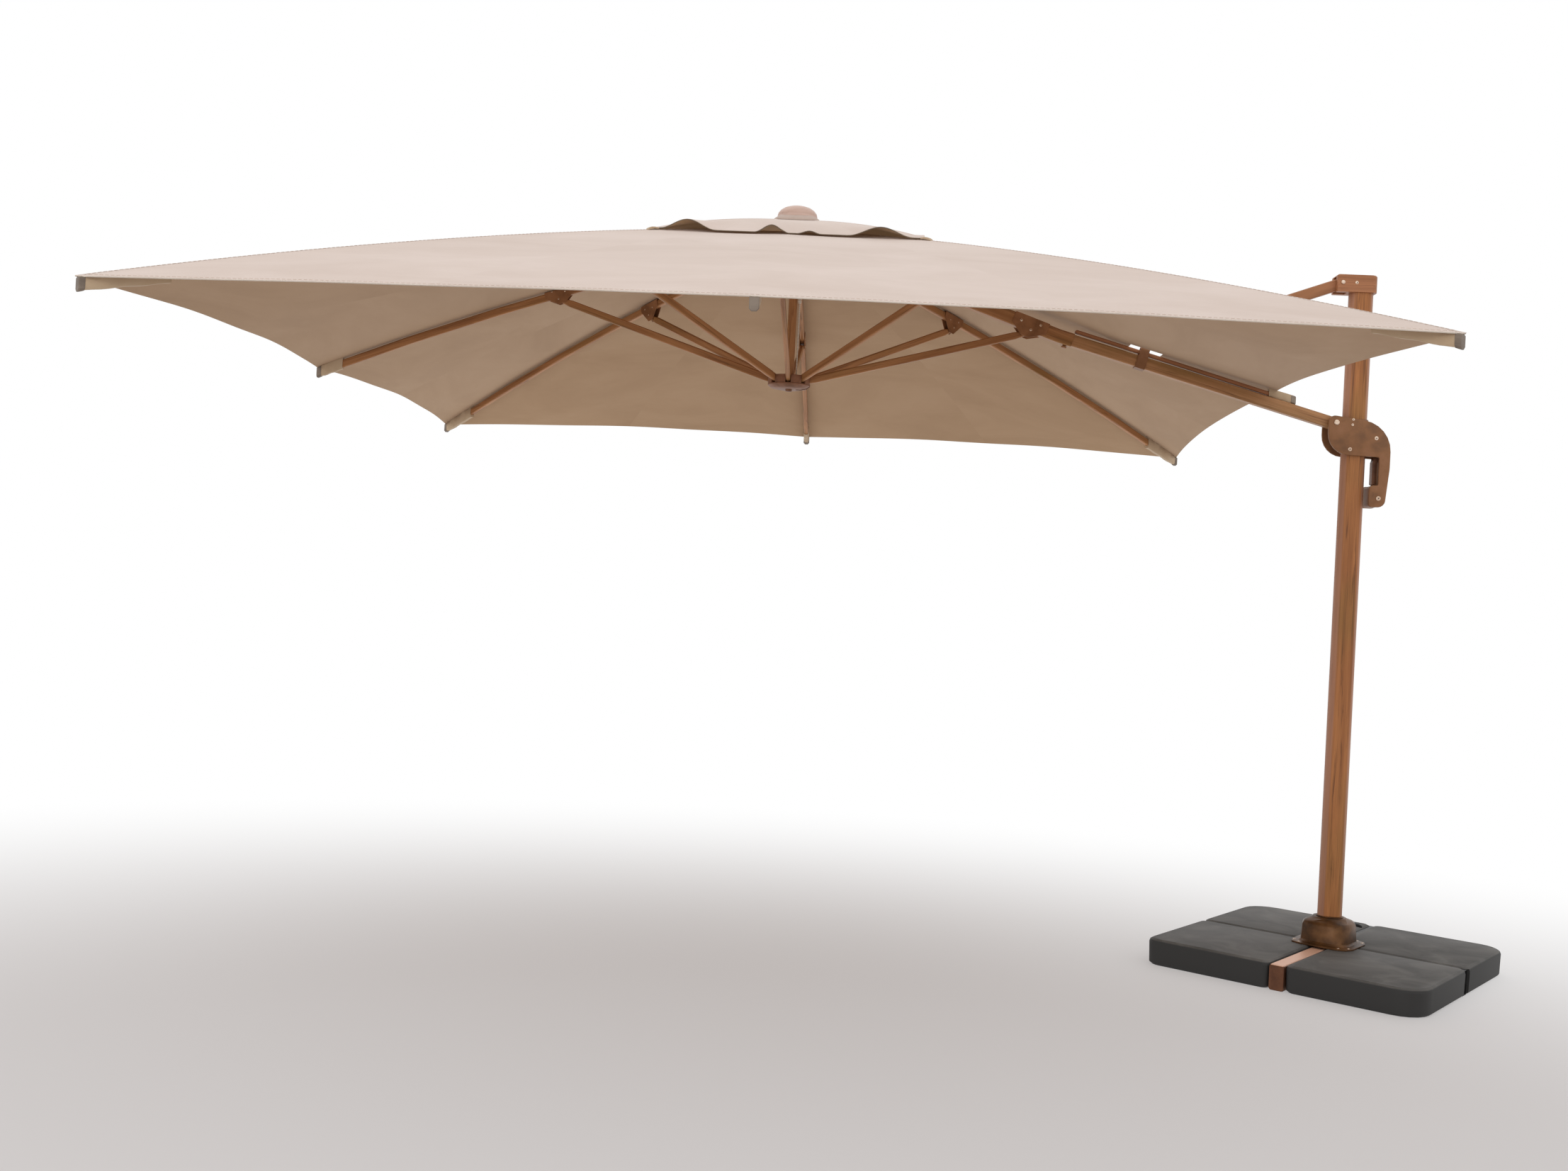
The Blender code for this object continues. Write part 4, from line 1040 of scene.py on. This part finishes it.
plate_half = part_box("slider_plate_far")[1].y
for x, z, size in ((-0.017, 1.959, 0.0034), (-0.019, 1.940, 0.0034), (0.066, 1.896, 0.0052),
                   (-0.024, 1.853, 0.0050), (0.083, 1.683, 0.0060)):
    both_sides("slider", x, z, plate_half, size)
cap_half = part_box("mast_cap")[1].y
both_sides("mast", -0.027, (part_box("arm_pin")[0].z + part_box("arm_pin")[1].z) / 2, cap_half, 0.0044)
flange_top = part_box("weight_left")[1].z + 0.0057
base_points = np.array([v.co for v in frame["nodes"]["pole_base"].data.vertices])
low_ring = base_points[base_points[:, 2] < flange_top]
far_corner = low_ring[np.argmax((low_ring[:, :2] ** 2).sum(1))]
corner_angle = math.atan2(far_corner[1], far_corner[0])
BOLT_CIRCLE = 0.117
for k in range(4):
    for off in (-9, 9):
        angle = corner_angle + k * math.pi / 2 + math.radians(off)
        bolt = (BOLT_CIRCLE * math.cos(angle), BOLT_CIRCLE * math.sin(angle), flange_top)
        add_head("base", bolt, (0, 0, 1), 0.0048)


def add_side_heads(node_name, spots, size):
    """Heads on both flat sides of a part along a rib; spots are (outwards, up) from its middle."""
    points = np.array([v.co for v in frame["nodes"][node_name].data.vertices])
    low_corner, high_corner = points.min(0), points.max(0)
    middle = Vector((low_corner + high_corner) / 2)
    out = Vector((middle.x - CENTRE_X, middle.y, 0))
    out = out.normalized() if out.length > 0.01 else Vector((1, 0, 0))
    side = Vector((-out.y, out.x, 0))
    half = float(np.abs((points - np.array(middle)) @ np.array(side)).max())
    for along, rise in spots:
        for way in (-1, 1):
            spot = middle + out * along + Vector((0, 0, rise)) + side * (half * way)
            add_head(body_names[node_name], spot, side * way, size)


for name in sorted(frame["nodes"]):
    if name.startswith("bracket_"):
        add_side_heads(name, ((0.0, -0.017), (-0.022, 0.012), (0.026, 0.008)), 0.0024)
add_side_heads("boom_bracket", ((0.0, -0.020), (-0.035, 0.014), (0.035, -0.002)), 0.0040)
both_sides("boom", collar.x + 0.004, collar.z + 0.002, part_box("boom_tube")[1].y, 0.0052)
for body, marks in heads.items():
    spots = bpy.data.meshes.new("fastener_spots_" + body)
    spots.from_pydata([tuple(place) for place, _, _ in marks], [], [])
    ways = spots.attributes.new("facing", "FLOAT_VECTOR", "POINT")
    ways.data.foreach_set("vector", [v for _, way, _ in marks for v in way])
    sizes = spots.attributes.new("size", "FLOAT", "POINT")
    sizes.data.foreach_set("value", [size for _, _, size in marks])
    screws = grown("fasteners_" + body, spots, fasteners,
                   {"Head finish": bolt_steel, "Socket finish": black_plastic})
    screws.data.shade_smooth()
    screws.data.set_sharp_from_angle(angle=math.radians(35))
    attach(screws, body)

# %% [markdown]
# Two rows of stitches hold each of the four corner seams, and one row holds the hem. A second node
# tree turns a line into evenly spaced points, lays a short thread at each, along the line, and
# makes the threads real. Each gore gets its own stitches, which ride on its rib just as it does.

# %% Stitch tree
stitching, given, result = geometry_tree("stitches", [
    ("Pitch", "NodeSocketFloat", 0.014), ("Stitch length", "NodeSocketFloat", 0.009),
    ("Thread radius", "NodeSocketFloat", 0.0007), ("Thread finish", "NodeSocketMaterial", None),
])
join = stitching.links.new
lines = node(stitching, "GeometryNodeMeshToCurve")
spaced = node(stitching, "GeometryNodeResampleCurve", mode="LENGTH")
stitch = node(stitching, "GeometryNodeMeshCylinder", Vertices=6)
along = node(stitching, "GeometryNodeInputTangent")
turned = node(stitching, "FunctionNodeAlignRotationToVector", axis="Z")
copies = node(stitching, "GeometryNodeInstanceOnPoints")
real = node(stitching, "GeometryNodeRealizeInstances")
coloured = node(stitching, "GeometryNodeSetMaterial")
join(given.outputs["Mesh"], lines.inputs["Mesh"])
join(lines.outputs["Curve"], spaced.inputs["Curve"])
join(given.outputs["Pitch"], spaced.inputs["Length"])
join(given.outputs["Stitch length"], stitch.inputs["Depth"])
join(given.outputs["Thread radius"], stitch.inputs["Radius"])
join(along.outputs["Tangent"], turned.inputs["Vector"])
join(spaced.outputs["Curve"], copies.inputs["Points"])
join(stitch.outputs["Mesh"], copies.inputs["Instance"])
join(turned.outputs["Rotation"], copies.inputs["Rotation"])
join(copies.outputs["Instances"], real.inputs["Geometry"])
join(real.outputs["Geometry"], coloured.inputs["Geometry"])
join(given.outputs["Thread finish"], coloured.inputs["Material"])
join(coloured.outputs["Geometry"], result.inputs["Mesh"])
print("stitch tree:", len(stitching.nodes), "nodes")

# %% Stitches
STITCH_LIFT = 0.0003
STITCH_SIDE = 0.0050  # from the middle of the seam to each row
STITCH_INSET = 0.012  # from the hem's edge to its row


def stitch_lines(name, rib, paths):
    """One mesh of threads along paths of places on a gore, each (m, s, lift above the cloth)."""
    points, edges = [], []
    for path in paths:
        for k, (m, s, lift) in enumerate(path):
            normal = sheet_normal(canopy_point, rib, m, s)
            place = gore_point(canopy_point, rib, m, s) + normal * (STITCH_LIFT + lift)
            if k:
                edges.append((len(points) - 1, len(points)))
            points.append(tuple(place))
    marks = bpy.data.meshes.new(name)
    marks.from_pydata(points, edges, [])
    return grown(name, marks, stitching, {"Thread finish": thread})


for rib in range(len(RIB_BODIES)):
    paths = []
    for way in (-1, 1) if rib % 2 else ():
        spots = [OPENING_HALF + 0.02 + (CANOPY_HALF - OPENING_HALF - 0.04) * k / 60 for k in range(61)]
        paths.append([(m, way * STITCH_SIDE / (0.5 * m), SEAM_RISE) for m in spots])
    hem_m = CANOPY_HALF - STITCH_INSET
    paths.append([(hem_m, -0.995 + 1.99 * k / 60, 0.0) for k in range(61)])
    threads = stitch_lines("stitches_%d" % rib, rib, paths)
    sew_to_rib(threads, rib)

# %% [markdown]
# The lift cord runs from the hub down to the runner, with a knot part of the way down. A thin
# braided cord needs only a round tube; its braid is in the finish.

# %% Lift cord
cord_low, cord_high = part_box("lift_cord")
CORD_THICK = 0.005
KNOT_SHARE = 0.42  # how far down the cord its knot is
cord_place = Vector(((cord_low.x + cord_high.x) / 2, (cord_low.y + cord_high.y) / 2, 0))
cord_heights = [cord_high.z + (cord_low.z - cord_high.z) * k / 24 for k in range(25)]
cord_path = [cord_place + Vector((0, 0, height)) for height in cord_heights]
cord_curve = bpy.data.curves.new("lift_cord_line", "CURVE")
cord_curve.dimensions = "3D"
cord_curve.bevel_depth = CORD_THICK / 2
cord_curve.bevel_resolution = 3
cord_curve.use_fill_caps = True
line = cord_curve.splines.new("POLY")
line.points.add(len(cord_path) - 1)
for spot, place in zip(line.points, cord_path):
    spot.co = (*place, 1)
cord_finish, tree, shader = finish("cord_braid", 0.8, specular=0.2)
where = node(tree, "ShaderNodeTexCoord").outputs["Object"]
braid = node(tree, "ShaderNodeTexWave", wave_type="BANDS", bands_direction="Z", Scale=60, Distortion=3.0,
             Detail=1)
tree.links.new(where, braid.inputs["Vector"])
braid_colour = ramp(tree, braid.outputs["Fac"], (0.3, paint(176, 160, 142)), (0.7, paint(222, 212, 198)))
tree.links.new(braid_colour, shader.inputs["Base Color"])
bumps(tree, shader, braid.outputs["Fac"], 0.4, 0.0006)
cord_curve.materials.append(cord_finish)
lift_cord = bpy.data.objects.new("lift_cord_rope", cord_curve)
scene.collection.objects.link(lift_cord)
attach(lift_cord, "hub")
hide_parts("lift_cord")
knot_at = cord_high.z + (cord_low.z - cord_high.z) * KNOT_SHARE
knot_profile = [(0.0020, -0.011), (0.0055, -0.009), (0.0068, -0.004), (0.0052, 0.0), (0.0066, 0.004),
                (0.0054, 0.009), (0.0020, 0.011)]
knot_shape = lathe(knot_profile, cord_place + Vector((0, 0, knot_at)), 20)
knot = add_piece("lift_cord_knot", knot_shape, [cord_finish], 60)
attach(knot, "hub")
print("lift cord", round(cord_high.z - cord_low.z, 3), "m")

# %% [markdown]
# No pattern was measured: only the cloth's area is read back, from the gores' own top faces. A
# check that compares them with the mesh can only agree.

def top_area(piece):
    return sum(face.area for face in piece.data.polygons if face.material_index == 0)


for gore in gores:
    rib = int(gore.name[-1])
print("cloth area", round(sum(top_area(g) for g in gores), 2), "square metres")
